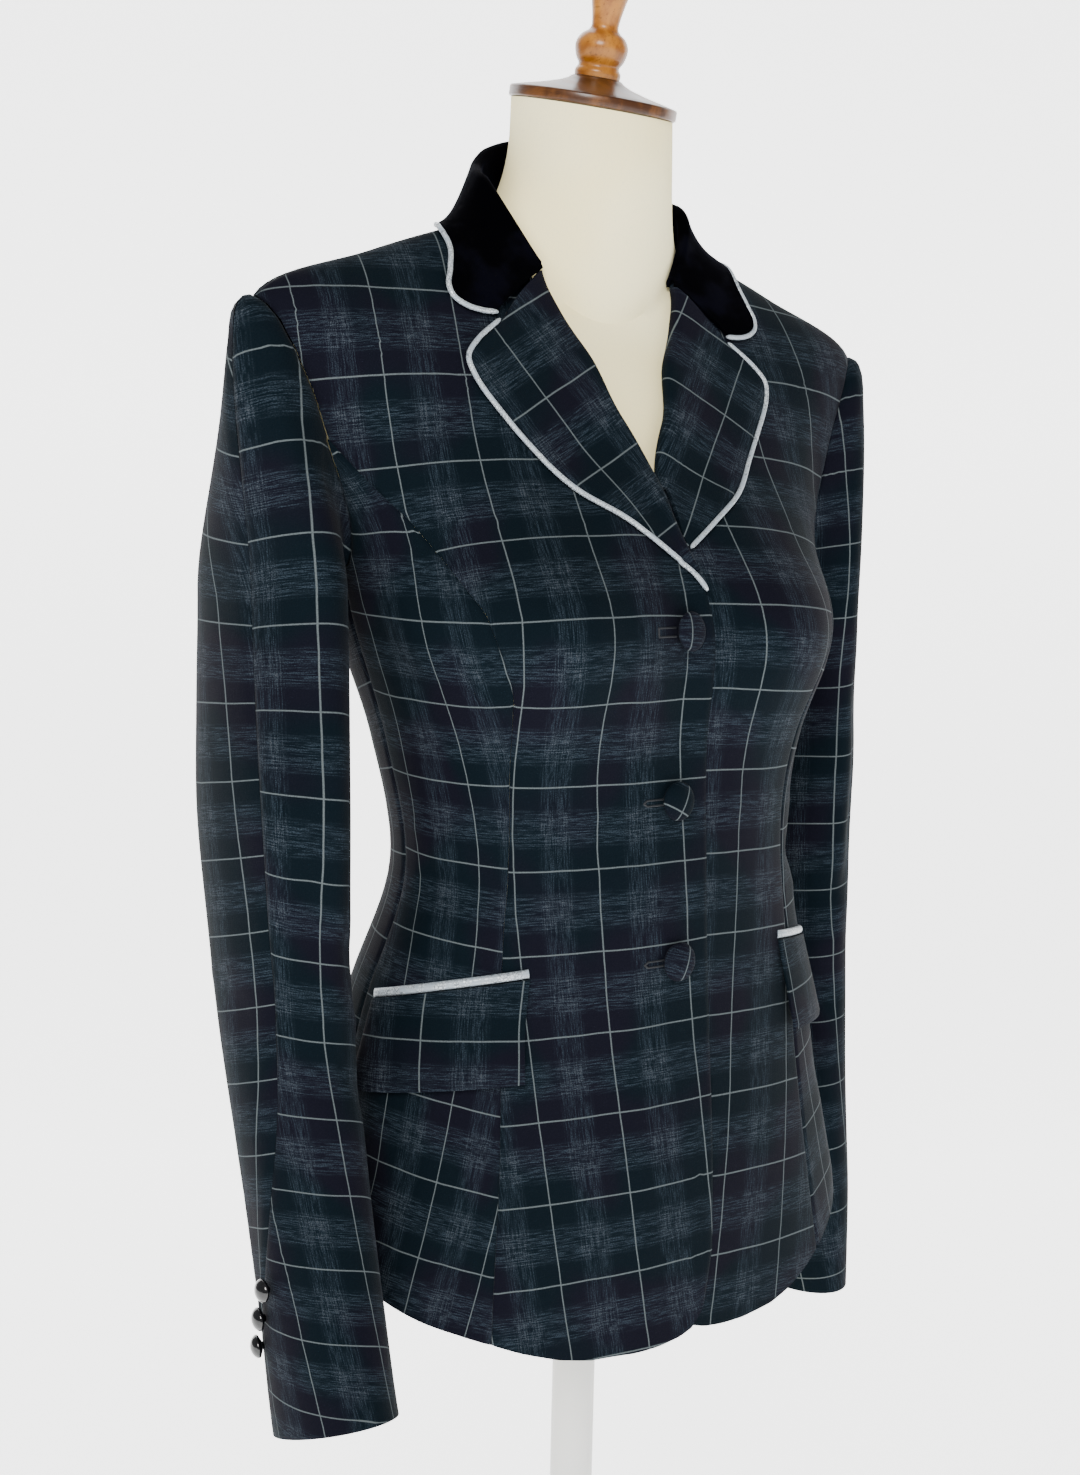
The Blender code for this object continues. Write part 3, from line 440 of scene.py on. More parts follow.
def at_angle(angle):
    """An edge that stays at one angle."""
    return lambda level: np.full_like(level, angle)


def at_curve(curve):
    return lambda level: along(curve, level)


PANELS = {
    "front": panel(centre_boundary, front_side, None, 47, LEVELS),
    "side_front": panel(at_curve(PRINCESS), at_angle(SIDE), UNDERARM, 33,
                        LEVELS[LEVELS <= JUNCTION + 1e-6]),
    "back": panel(at_curve(ARMHOLE_BACK), at_angle(180.0), None, 45, LEVELS),
}


def lift(side, angle, level):
    """How far a front is lifted: the right one lies over the left near the centre, up
    to where the lapels part."""
    if side > 0:
        return np.zeros(np.broadcast(angle, level).shape)
    x = inner_body(angle, level)[..., 0]
    return LAP * (1 - ease(0.026, 0.055, x)) * (1 - ease(7.5, 8.8, level))


print({name: grids[0][0].shape for name, grids in PANELS.items()})

# To draw it where it really falls, each curved panel is laid flat first: every small triangle
# keeps its own size and shape as far as its neighbours let it. The flat place of each point,
# in metres, becomes the panel's UV map, so one check with one pitch serves the whole coat,
# and it bends at the darts and seams by itself.


# %% Flattening a grid
TRIANGLE_SIDES = ((0, 1), (1, 2), (2, 0))


def flatten(grid, rounds=60):
    """(rows, columns, 2) flat places, in metres, of a curved grid of points."""
    rows, columns = grid.shape[:2]
    count = rows * columns
    number = np.arange(count).reshape(rows, columns)
    a, b = number[:-1, :-1].ravel(), number[:-1, 1:].ravel()
    c, d = number[1:, 1:].ravel(), number[1:, :-1].ravel()
    triangles = ((a, b, d), (b, c, d), (a, b, c), (a, c, d))
    corners = np.concatenate([np.stack(t, 1) for t in triangles])
    points = grid.reshape(-1, 3)
    first = points[corners[:, 1]] - points[corners[:, 0]]
    second = points[corners[:, 2]] - points[corners[:, 0]]
    length = np.maximum(np.linalg.norm(first, axis=1), 1e-9)
    x = (first * second).sum(1) / length
    y = np.linalg.norm(np.cross(first, second), axis=1) / length
    local = np.zeros((len(corners), 3, 2))
    local[:, 1, 0] = length
    local[:, 2, 0] = x
    local[:, 2, 1] = y
    laplace = np.zeros((count, count))
    for i, j in TRIANGLE_SIDES:
        np.add.at(laplace, (corners[:, i], corners[:, i]), 1)
        np.add.at(laplace, (corners[:, j], corners[:, j]), 1)
        np.add.at(laplace, (corners[:, i], corners[:, j]), -1)
        np.add.at(laplace, (corners[:, j], corners[:, i]), -1)
    laplace[0, 0] += 1
    solve = np.linalg.inv(laplace)
    steps = np.linalg.norm(np.diff(grid, axis=1), axis=2)
    across = np.concatenate([np.zeros((rows, 1)), np.cumsum(steps, 1)], 1)
    across -= across[:, columns // 2][:, None]
    climb = np.linalg.norm(np.diff(grid[:, columns // 2], axis=0), axis=1)
    upward = np.concatenate([[0], np.cumsum(climb)])
    flat = np.stack([across, np.broadcast_to(upward[:, None], across.shape)], -1).reshape(-1, 2)
    for _ in range(rounds):
        pull = np.zeros((count, 2))
        ways = [(local[:, j] - local[:, i], flat[corners[:, j]] - flat[corners[:, i]])
                for i, j in TRIANGLE_SIDES]
        cosine = sum((q * p).sum(1) for q, p in ways)
        sine = sum(q[:, 0] * p[:, 1] - q[:, 1] * p[:, 0] for q, p in ways)
        size = np.maximum(np.hypot(cosine, sine), 1e-12)
        cosine, sine = cosine / size, sine / size
        for (i, j), (q, _) in zip(TRIANGLE_SIDES, ways):
            turned = np.stack([cosine * q[:, 0] - sine * q[:, 1],
                               sine * q[:, 0] + cosine * q[:, 1]], 1)
            np.add.at(pull, corners[:, j], turned)
            np.add.at(pull, corners[:, i], -turned)
        flat = solve @ pull
    return (flat - flat.mean(0)).reshape(rows, columns, 2)


def halved(coarse, rows):
    """Flat places with a row put in between every two."""
    at, knots = np.arange(rows) / 2, np.arange(len(coarse))
    return np.stack([np.stack([np.interp(at, knots, column_) for column_ in coarse[..., k].T], 1)
                     for k in (0, 1)], -1)


def flat_places(grid):
    """The flat place of every point of a fine grid, from every second row and column."""
    rows, columns = grid.shape[:2]
    coarse = flatten(grid[::2, ::2])
    middle = halved(coarse, rows)
    steps = np.linalg.norm(np.diff(grid, axis=1), axis=2)
    length = np.concatenate([np.zeros((rows, 1)), np.cumsum(steps, 1)], 1)
    places = np.zeros((rows, columns, 2))
    for i in range(rows):
        for k in (0, 1):
            places[i, :, k] = np.interp(length[i], length[i, ::2], middle[i, :, k])
    return places


def cut_size(flat):
    """Width, length and area of a flat cut."""
    width, length = np.ptp(flat[..., 0]), np.ptp(flat[..., 1])
    one, two = flat[1:, 1:] - flat[:-1, :-1], flat[1:, :-1] - flat[:-1, 1:]
    area = 0.5 * np.abs(one[..., 0] * two[..., 1] - one[..., 1] * two[..., 0]).sum()
    return float(width), float(length), float(area)


FLAT = {name: flat_places(body(*grids[0], CLOTH)) for name, grids in PANELS.items()}
print({name: [round(x, 3) for x in cut_size(flat)] for name, flat in FLAT.items()})

# %% [markdown]
# ## Sleeves
# Each sleeve is a tube in two halves that meet at a seam on its outer side. Rings give the
# tube, and from its upper ring a bundle of curves runs into the armhole, as a sleeve head
# does. The sleeve's own measures go up the arm, row by row.

# %% Sleeve grids
SLEEVE_COLUMNS = ("z", "y_right", "y_left", "x", "half_width", "half_depth", "seam")
SLEEVE = (
    (0.700, -0.1000, 0.0270, 0.2035, 0.0275, 0.0425, -60.0),
    (0.740, -0.0880, 0.0270, 0.2030, 0.0275, 0.0420, -60.0),
    (0.775, -0.0740, 0.0270, 0.2025, 0.0275, 0.0412, -56.0),
    (0.810, -0.0610, 0.0280, 0.2010, 0.0275, 0.0402, -36.0),
    (0.850, -0.0450, 0.0300, 0.1990, 0.0280, 0.0405, 8.0),
    (0.900, -0.0262, 0.0340, 0.1970, 0.0285, 0.0440, 33.0),
    (0.950, -0.0092, 0.0395, 0.1960, 0.0290, 0.0485, 42.0),
    (1.000, 0.0012, 0.0450, 0.1950, 0.0295, 0.0555, 40.0),
    (1.060, 0.0106, 0.0500, 0.1940, 0.0300, 0.0635, 36.0),
    (1.120, 0.0219, 0.0480, 0.1890, 0.0295, 0.0646, 30.0),
    (1.165, 0.0290, 0.0450, 0.1858, 0.0280, 0.0648, 26.0),
)
CUFF = {-1: 0.7670, 1: 0.7100}  # heights of the cuffs' edges; the left arm hangs lower
SLEEVE_ROWS = np.concatenate([[0, 0.004, 0.012], np.linspace(0.03, 1, 52)])
HEAD_SHARES = np.concatenate([np.linspace(0.05, 0.90, 18), [0.945, 0.975, 0.99, 1.0]])
SLEEVE_HALVES = {"front": 41, "back": 37}  # columns of each half
HEAD_GAP = 0.0002  # between the sleeve head and the armhole's edge
RISE_SHARE, FULL_SHARE, FULL_MOST = 0.36, 0.20, 0.036  # how straight and full the head is


def loop_of(side, half, off):
    """The armhole edge of the body panels: its front half from the shoulder seam down to
    the side seam, or its back half back up to the shoulder seam."""
    if half == "front":
        (angle, level), rows = PANELS["front"]
        upper = (rows >= JUNCTION - 1e-6) & (rows <= SHOULDER + 1e-6)
        above = np.stack([angle[upper, -1], level[upper, -1]], -1)[::-1]
        angle, level = PANELS["side_front"][0]
        below = np.stack([angle[-1], level[-1]], -1)
        points = np.concatenate([above, below[1:]])
    else:
        (angle, level), rows = PANELS["back"]
        open_rows = (rows >= UNDERARM[-1][1]) & (rows <= SHOULDER + 1e-6)
        points = np.stack([angle[open_rows, 0], level[open_rows, 0]], -1)
    return on_side(side, body_at(points, off))


def spaced(points, count):
    """`count` points evenly spaced along a polyline, just short of both its ends."""
    steps = np.linalg.norm(np.diff(points, axis=0), axis=1)
    length = np.concatenate([[0], np.cumsum(steps)])
    at = np.linspace(SEAM, length[-1] - SEAM, count)
    return np.stack([np.interp(at, length, points[:, i]) for i in range(3)], -1)


def sleeve_ring(side, z, angles, inside=0.0):
    """Points of a sleeve ring at a height, at angles round it, and the way the sleeve
    runs up there."""
    heights = np.array([z - 0.01, z, z + 0.01])
    below, y, above = column(SLEEVE, SLEEVE_COLUMNS, f"y_{SIDES[side]}", heights)
    upward = np.array([0, (above - below) / 0.02, 1.0])
    upward /= np.linalg.norm(upward)
    forward = np.array([0, -upward[2], upward[1]])
    x = float(column(SLEEVE, SLEEVE_COLUMNS, "x", z))
    wide = float(column(SLEEVE, SLEEVE_COLUMNS, "half_width", z)) - inside
    deep = float(column(SLEEVE, SLEEVE_COLUMNS, "half_depth", z)) - inside
    turn = np.radians(angles)[:, None]
    points = np.array([x, y, z]) + np.cos(turn) * np.array([wide, 0, 0])
    points = points + np.sin(turn) * forward * deep
    return on_side(side, points), upward


def sleeve_seam(side, z):
    """Angle of the outer seam round a sleeve."""
    share = (z - CUFF[side]) / (SLEEVE[-1][0] - CUFF[side])
    level = CUFF[-1] + share * (SLEEVE[-1][0] - CUFF[-1])
    return float(column(SLEEVE, SLEEVE_COLUMNS, "seam", level))


def sleeve_points(side, half, columns, inside):
    """Grid of one half of a sleeve from the cuff up to the armhole."""
    rows = []
    for z in CUFF[side] + (SLEEVE[-1][0] - CUFF[side]) * SLEEVE_ROWS:
        seam = sleeve_seam(side, z)
        if half == "front":
            angles = np.linspace(seam + 0.15, 179.85, columns)
        else:
            angles = np.linspace(180.15, 359.85 + seam, columns)
        points, upward = sleeve_ring(side, z, angles, inside)
        rows.append(points)
    whole = np.concatenate([loop_of(side, "front", 0), loop_of(side, "back", 0)])
    centre = whole.mean(axis=0)
    loop = spaced(loop_of(side, half, 0.0004), columns)
    outward = (spaced(loop_of(side, half, 0.0104), columns) - loop) / 0.01
    outward = outward + np.array([side * 1.2, 0, 0])
    outward /= np.linalg.norm(outward, axis=1, keepdims=True)
    way_in = (centre - loop) * [0.2, 1, 1]
    way_in /= np.linalg.norm(way_in, axis=1, keepdims=True)
    loop = loop + (HEAD_GAP + inside) * way_in
    base = rows[-1]
    span = np.linalg.norm(base - loop, axis=1, keepdims=True)
    near_base = base + upward * span * RISE_SHARE
    near_loop = loop + outward * np.minimum(FULL_SHARE * span, FULL_MOST)
    for share in HEAD_SHARES:
        rows.append(
            (1 - share) ** 3 * base + 3 * (1 - share) ** 2 * share * near_base
            + 3 * (1 - share) * share**2 * near_loop + share**3 * loop
        )
    return np.stack(rows)


SLEEVES = {
    (side, half): [sleeve_points(side, half, columns, depth) for depth in (CLOTH, 0.0)]
    for side in (-1, 1) for half, columns in SLEEVE_HALVES.items()
}
SLEEVE_FLAT = {key: flat_places(grids[1]) for key, grids in SLEEVES.items()}
print({key: [round(x, 3) for x in cut_size(flat)] for key, flat in SLEEVE_FLAT.items()})

# %% [markdown]
# ## Where the check lies on each piece
# The tailor lays each pattern piece on the check with care: the weft lines run level round the
# coat, and a warp line runs down beside the buttons. One row for each piece says where its
# flat cut lies on the woven check. Lines are counted from a middle one, and a decimetre of
# cloth holds about 2.3 weft lines and 1.95 warp lines. The last three columns of each kind
# bend the count a little, where the cloth was eased or pressed into shape.

# %% The check's place on each piece
WARP_PITCH, WEFT_PITCH = 0.0513, 0.0440  # metres between two pale lines, warp and weft
# Six numbers for the count of weft lines, then six for warp lines: the count at the middle,
# then how it grows across, up, with across squared, with both, and with up squared.
GRAIN = {
    "front_right": (
        (-3.95, 0.11, 2.23, -0.01, 0.00, -0.02),
        (-0.61, 2.05, -0.15, 0.28, -0.10, 0.03)),
    "front_left": (
        (-4.06, 0.17, 2.13, -0.01, -0.04, -0.02),
        (1.50, 1.78, 0.03, -0.06, 0.00, 0.07)),
    "side_front_right": (
        (-6.70, -0.40, 2.39, -0.01, 0.06, -0.03),
        (0.78, 2.78, -0.05, -0.06, -0.06, -0.12)),
    "side_front_left": (
        (-6.73, -0.16, 2.20, 0.00, 0.03, -0.06),
        (0.77, 1.88, -0.02, -0.02, -0.09, -0.05)),
    "sleeve_front_right": (
        (-2.64, 0.00, 2.48, 0.01, -0.21, -0.11),
        (1.22, 1.84, 0.24, -0.10, -0.31, -0.06)),
    "sleeve_back_right": (
        (-3.00, 0.28, 2.51, -0.03, 0.07, -0.10),
        (-1.37, 1.80, 0.06, -0.19, -0.13, 0.18)),
    "sleeve_front_left": (
        (-3.17, -0.03, 2.31, 0.02, -0.02, -0.01),
        (-0.03, 1.90, 0.11, 0.00, -0.02, 0.06)),
    "sleeve_back_left": (
        (-3.55, 0.28, 2.33, 0.00, 0.05, -0.03),
        (-1.37, 1.95, 0.06, 0.00, 0.00, 0.05)),
    "lapel_right": (
        (1.65, -0.27, -2.15, 0.00, 0.00, 0.00),
        (1.35, -1.96, 0.28, 0.00, 0.00, 0.00)),
    "lapel_left": (
        (1.18, 0.10, -2.12, 0.00, 0.00, 0.00),
        (1.42, -2.08, 0.21, 0.00, 0.00, 0.00)),
}


def on_check(flat, rows):
    """Places on the woven check, in metres, of a piece's flat cut."""
    across, up = flat[..., 0] / 0.1, flat[..., 1] / 0.1
    terms = (np.ones_like(up), across, up, across**2, across * up, up**2)
    weft, warp = [sum(value * term for value, term in zip(row, terms)) for row in rows]
    return np.stack([warp * WARP_PITCH, weft * WEFT_PITCH], -1)


def back_check(word):
    """The backs' check: it goes on level from the side fronts at the side seam."""
    start = on_check(FLAT["side_front"], GRAIN[f"side_front_{word}"])
    seam_row = len(start) // 2
    flat = FLAT["back"]
    weft = flat[..., 1] - flat[seam_row, 0, 1] + start[seam_row, -1, 1]
    return np.stack([flat[..., 0] - flat[seam_row, -1, 0], weft], -1)


CHECK = {}
for word in SIDES.values():
    for name in ("front", "side_front"):
        CHECK[f"{name}_{word}"] = on_check(FLAT[name], GRAIN[f"{name}_{word}"])
    CHECK[f"back_{word}"] = back_check(word)
for (side, half), flat in SLEEVE_FLAT.items():
    name = f"sleeve_{half}_{SIDES[side]}"
    CHECK[name] = on_check(flat, GRAIN[name])
print("check charted on", len(CHECK), "pieces")

# %% [markdown]
# ## Shader maths
# A procedural cloth is mostly arithmetic on two lengths: how far across and how far up the
# cloth a point is. A small class wraps an output socket, so that the arithmetic is written as
# plain Python and every operator adds its Math node.


# %% A class for shader maths
class Wire:
    """An output socket of a material, with arithmetic."""

    def __init__(self, look, socket):
        self.look = look
        self.socket = socket

    def maths(self, operation, *others):
        return self.look.node("ShaderNodeMath", {"operation": operation},
                              {i: value for i, value in enumerate((self, *others))})

    def __add__(self, other):
        return self.maths("ADD", other)

    __radd__ = __add__

    def __mul__(self, other):
        return self.maths("MULTIPLY", other)

    __rmul__ = __mul__

    def __sub__(self, other):
        return self.maths("SUBTRACT", other)

    def __rsub__(self, other):
        return self.look.node("ShaderNodeMath", {"operation": "SUBTRACT"}, {0: other, 1: self})

    def __truediv__(self, other):
        return self.maths("DIVIDE", other)

    def off_line(self, pitch):
        """Distance from the nearest of a row of lines that are a pitch apart."""
        return ((self / pitch).maths("WRAP", 0.5, -0.5) * pitch).maths("ABSOLUTE")

    def fades(self, low, high):
        """1 below low, 0 above high, and a soft step between."""
        return self.look.node("ShaderNodeMapRange", {"interpolation_type": "SMOOTHSTEP"},
                              {"Value": self, "From Min": low, "From Max": high,
                               "To Min": 1.0, "To Max": 0.0})

    def rises(self, low, high):
        """0 below low, 1 above high, and a soft step between."""
        return 1 - self.fades(low, high)

    def held(self):
        """Kept from 0 to 1."""
        return self.look.node("ShaderNodeClamp", {}, {"Value": self})


class Look:
    """A material with one Principled shader; the constants go on its own sockets."""

    def __init__(self, name, **constants):
        self.material = bpy.data.materials.new(name)
        self.material.use_nodes = True
        self.tree = self.material.node_tree
        self.shader = self.tree.nodes["Principled BSDF"]
        for socket, value in constants.items():
            self.shader.inputs[socket.replace("_", " ")].default_value = value

    def node(self, kind, settings, inputs, output=0):
        """Any node: its settings first, then the values or links of its sockets."""
        made = self.tree.nodes.new(kind)
        for key, value in settings.items():
            setattr(made, key, value)
        for key, value in inputs.items():
            if isinstance(value, Wire):
                self.tree.links.new(value.socket, made.inputs[key])
            else:
                made.inputs[key].default_value = value
        return Wire(self, made.outputs[output])

    def mix(self, share, one, two):
        """One colour where share is 0, the other where it is 1."""
        colours = [(*c, 1) if isinstance(c, tuple) else c for c in (one, two)]
        return self.node("ShaderNodeMix", {"data_type": "RGBA"},
                         {0: share, 6: colours[0], 7: colours[1]}, 2)

    def noise(self, place, scale, detail=2.0, rough=0.5):
        return self.node("ShaderNodeTexNoise", {}, {"Vector": place, "Scale": scale,
                                                    "Detail": detail, "Roughness": rough})

    def stretched(self, place, sizes):
        """A place with each direction multiplied by its own number."""
        return self.node("ShaderNodeVectorMath", {"operation": "MULTIPLY"},
                         {0: place, 1: sizes})

    def set(self, socket, value):
        self.tree.links.new(value.socket, self.shader.inputs[socket])

    def bump(self, height, strength, distance):
        normal = self.node("ShaderNodeBump", {}, {"Height": height, "Strength": strength,
                                                  "Distance": distance})
        self.set("Normal", normal)


print("shader helpers:", [name for name in vars(Look) if not name.startswith("_")])

# %% [markdown]
# ## The check cloth
# The pattern is a windowpane over a shadow check: thin pale lines, and half way between them
# soft bands where paler threads run through the dark ground. Where two bands cross, both sets
# of threads show and the cloth is palest. Noise drawn out along the warp or the weft makes the
# separate threads, and a slow noise turns the ground from green-black to purple-black. It is
# all a function of the flat place on the cloth, so it follows every piece's own UV map.

# %% Material: check cloth
LINE_HALF = 0.00037  # half the width of a pale line
BAND_HALF = 0.0112  # half the width of a soft band
GROUND_GREEN, GROUND_PURPLE = (0.0012, 0.0041, 0.0068), (0.0030, 0.0032, 0.0072)
DARK_WARPS = (0.0006, 0.0078, 0.0094)  # dark threads in a band, from its middle
DARK_WEFTS = (0.0007, 0.0070, 0.0090)
THREAD_BLUE, THREAD_GREY = (0.024, 0.035, 0.048), (0.054, 0.061, 0.071)
LINE_COLOUR = (0.076, 0.091, 0.097)


def check_cloth():
    look = Look("check_cloth", Sheen_Weight=0.015, Sheen_Roughness=0.45,
                Specular_IOR_Level=0.05)
    place = look.node("ShaderNodeUVMap", {"uv_map": "cloth"}, {})
    across = look.node("ShaderNodeSeparateXYZ", {}, {"Vector": place})
    up = Wire(look, across.socket.node.outputs[1])
    waver = look.noise(place, 38.0, 1.0) * 0.0010 - 0.0005
    off_warp = (across + waver).off_line(WARP_PITCH)
    off_weft = (up + waver).off_line(WEFT_PITCH)
    warp_threads = look.noise(look.stretched(place, (1500.0, 90.0, 1.0)), 1.0, 3.0, 0.66)
    weft_threads = look.noise(look.stretched(place, (90.0, 1500.0, 1.0)), 1.0, 3.0, 0.66)
    fleck = look.noise(look.stretched(place, (1500.0, 1900.0, 1.0)), 1.0, 1.0, 0.7)
    ground = look.mix(look.noise(place, 15.0, 1.0).rises(0.44, 0.60), GROUND_GREEN, GROUND_PURPLE)

    def band(off, pitch, threads, dark_lines):
        """How much pale thread shows in a soft band."""
        middle = pitch / 2 - off
        soft = middle.fades(BAND_HALF * 0.72, BAND_HALF)
        pairs = 1 - sum((middle - at).maths("ABSOLUTE").fades(0.00025, 0.0006)
                        for at in dark_lines) * 0.75
        return (soft * threads.rises(0.43, 0.60) * pairs).held()

    warp_band = band(off_warp, WARP_PITCH, warp_threads, DARK_WARPS)
    weft_band = band(off_weft, WEFT_PITCH, weft_threads, DARK_WEFTS)
    worn = fleck.rises(0.36, 0.68)
    both = warp_band * weft_band
    tone = look.mix((warp_band * (0.12 + 0.62 * worn)).held(), ground, THREAD_BLUE)
    tone = look.mix((weft_band * (0.18 + 0.72 * worn)).held(), tone, THREAD_BLUE)
    tone = look.mix((both * worn * 1.1).held(), tone, THREAD_GREY)
    broken = fleck.rises(0.22, 0.50)
    edge = (LINE_HALF * 0.6, LINE_HALF * 1.5)
    lines = off_warp.fades(*edge).maths("MAXIMUM", off_weft.fades(*edge))
    tone = look.mix((lines * (0.42 + 0.58 * broken)).held(), tone, LINE_COLOUR)
    look.set("Base Color", tone)
    look.set("Roughness", 0.96 - 0.22 * worn)
    look.bump(warp_threads + weft_threads + fleck, 0.28, 0.0004)
    return look.material


CHECK_LOOK = check_cloth()
print("check cloth nodes:", len(CHECK_LOOK.node_tree.nodes))

# %% [markdown]
# ## Velvet, satin and the small finishes
# Velvet is darkest where we look straight into its pile and lifts a navy sheen at its edges;
# handling leaves soft patches that lean another way. The piping is a pale satin with a fine
# crackle, drawn by the cells of a Voronoi texture. Cuff buttons and the cap's varnish are
# glossy, so they get a clear coat, and the jersey is a fine vertical rib.


# %% Materials: the other finishes
def surface_place(look):
    """The place of a point in metres."""
    return look.node("ShaderNodeTexCoord", {}, {}, "Object")


def velvet():
    look = Look("velvet", Sheen_Weight=0.025, Sheen_Roughness=0.30,
                Sheen_Tint=(0.22, 0.25, 0.55, 1), Specular_IOR_Level=0.015)
    place = surface_place(look)
    patch = look.noise(place, 34.0, 3.0, 0.55)
    pile = look.noise(place, 2600.0, 1.0)
    look.set("Base Color", look.mix(patch.rises(0.50, 0.66) * 0.8, (0.0002, 0.0002, 0.0006),
                                    (0.0011, 0.0012, 0.0034)))
    look.set("Roughness", 0.98 - 0.25 * patch.rises(0.48, 0.62))
    look.bump(pile * 0.6 + patch * 1.2, 0.35, 0.0006)
    return look.material


def satin():
    look = Look("satin", Specular_IOR_Level=0.62, Sheen_Weight=0.10)
    place = surface_place(look)
    bent = look.noise(place, 260.0, 2.0)
    cells = look.node("ShaderNodeTexVoronoi", {"feature": "DISTANCE_TO_EDGE"},
                      {"Vector": place, "Scale": 620.0, "Randomness": 1.0})
    crack = cells.fades(0.03, 0.14) * bent.rises(0.42, 0.54)
    shade = look.mix(bent.rises(0.35, 0.65), (0.27, 0.32, 0.37), (0.50, 0.55, 0.58))
    look.set("Base Color", look.mix(crack * 0.8, shade, (0.07, 0.085, 0.11)))
    look.set("Roughness", 0.30 + 0.25 * crack)
    look.set("Metallic", bent.rises(0.3, 0.7) * 0.25)
    look.bump(cells.fades(0.0, 0.12) * -1.0 + bent, 0.35, 0.0003)
    return look.material


def button_gloss():
    look = Look("button_gloss", Coat_Weight=0.4, Coat_Roughness=0.04, Specular_IOR_Level=0.4)
    scuff = look.noise(surface_place(look), 900.0, 3.0)
    look.set("Base Color", look.mix(scuff.rises(0.5, 0.7), (0.0015, 0.0015, 0.002),
                                    (0.004, 0.004, 0.005)))
    look.set("Roughness", 0.08 + 0.10 * scuff)
    return look.material


def jersey():
    look = Look("jersey", Sheen_Weight=0.03, Sheen_Roughness=0.5, Specular_IOR_Level=0.1)
    place = surface_place(look)
    rib = look.noise(look.stretched(place, (1300.0, 1300.0, 420.0)), 1.0, 1.0)
    cloud = look.noise(place, 9.0, 2.0)
    cream = look.mix(cloud.rises(0.35, 0.65), (0.92, 0.81, 0.44), (0.95, 0.87, 0.54))
    look.set("Base Color", look.mix(rib.rises(0.5, 0.8) * 0.15, cream, (0.62, 0.56, 0.45)))
    look.set("Roughness", 0.80 + 0.12 * rib)
    look.bump(rib, 0.18, 0.0003)
    return look.material


def wood(name, dark, light, grain_scale):
    look = Look(name, Coat_Weight=0.18, Coat_Roughness=0.14, Specular_IOR_Level=0.3)
    place = surface_place(look)
    grain = look.noise(look.stretched(place, (120.0, 16.0, 60.0)), grain_scale, 4.0, 0.6)
    pores = look.noise(look.stretched(place, (900.0, 90.0, 900.0)), 1.0, 1.0)
    tone = look.mix(grain.rises(0.36, 0.64), dark, light)
    pore_colour = tuple(c * 0.4 for c in dark)
    look.set("Base Color", look.mix(pores.rises(0.60, 0.74) * 0.5, tone, pore_colour))
    look.set("Roughness", 0.26 + 0.22 * grain)
    look.bump(pores, 0.10, 0.0003)
    return look.material


def paint():
    look = Look("base_paint", Specular_IOR_Level=0.45)
    place = surface_place(look)
    speckle = look.noise(place, 700.0, 2.0)
    cloud = look.noise(place, 6.0, 2.0)
    look.set("Base Color", look.mix(cloud.rises(0.3, 0.7), (0.60, 0.60, 0.58), (0.68, 0.68, 0.66)))
    look.set("Roughness", 0.40 + 0.15 * speckle)
    look.bump(speckle, 0.12, 0.0003)
    return look.material


def thread():
    look = Look("button_thread", Specular_IOR_Level=0.3)
    twist = look.noise(surface_place(look), 2400.0, 1.0)
    look.set("Base Color", look.mix(twist, (0.004, 0.005, 0.007), (0.016, 0.018, 0.022)))
    look.set("Roughness", 0.55 + 0.3 * twist)
    look.bump(twist, 0.3, 0.0003)
    return look.material


VELVET_LOOK, SATIN_LOOK, GLOSS_LOOK, JERSEY_LOOK = velvet(), satin(), button_gloss(), jersey()
WALNUT_LOOK = wood("walnut", (0.036, 0.011, 0.002), (0.115, 0.041, 0.008), 1.0)
OAK_LOOK = wood("oak", (0.21, 0.066, 0.005), (0.35, 0.135, 0.014), 1.3)
PAINT_LOOK, THREAD_LOOK = paint(), thread()


def floor_look():
    look = Look("floor", Specular_IOR_Level=0.1, Emission_Color=(1, 1, 1, 1), Emission_Strength=2.6)
    cloud = look.noise(surface_place(look), 1.5, 1.0)
    look.set("Base Color", look.mix(cloud, (0.86, 0.86, 0.855), (0.90, 0.90, 0.895)))
    look.set("Roughness", 0.85 + 0.1 * cloud)
    return look.material


floor.data.materials.append(floor_look())
print("materials:", len(bpy.data.materials))

# %% [markdown]
# ## Meshes from grids
# Every cloth piece is a grid of points, so three small helpers make them all: one adds a mesh
# and its flat places, one closes two grids into a wall, and one turns a line into a tube.


# %% Helpers for meshes
COAT = bpy.data.collections.new("equestrian_show_coat")
bpy.context.scene.collection.children.link(COAT)


def chart_cloth(mesh, cloth):
    """A UV map with each point's place on the flat cloth."""
    corner_points = np.zeros(len(mesh.loops), dtype=np.int32)
    mesh.loops.foreach_get("vertex_index", corner_points)
    layer = mesh.uv_layers.new(name="cloth")
    layer.uv.foreach_set("vector", np.asarray(cloth, np.float32)[corner_points].ravel())


def add(name, points, faces, look, cloth=None):
    """A smooth mesh; `cloth` gives each point's place on its flat cloth."""
    mesh = bpy.data.meshes.new(name)
    mesh.from_pydata([tuple(map(float, p)) for p in points], [], faces)
    mesh.materials.append(look)
    if cloth is not None:
        chart_cloth(mesh, cloth)
    mesh.shade_smooth()
    made = bpy.data.objects.new(name, mesh)
    COAT.objects.link(made)
    return made


def grid_faces(rows, columns, flip, start=0):
    """The faces of a grid of points; a flipped grid faces the other way."""
    faces = []
    for i in range(rows - 1):
        for j in range(columns - 1):
            a = start + i * columns + j
            face = (a, a + 1, a + columns + 1, a + columns)
            faces.append(face[::-1] if flip else face)
    return faces


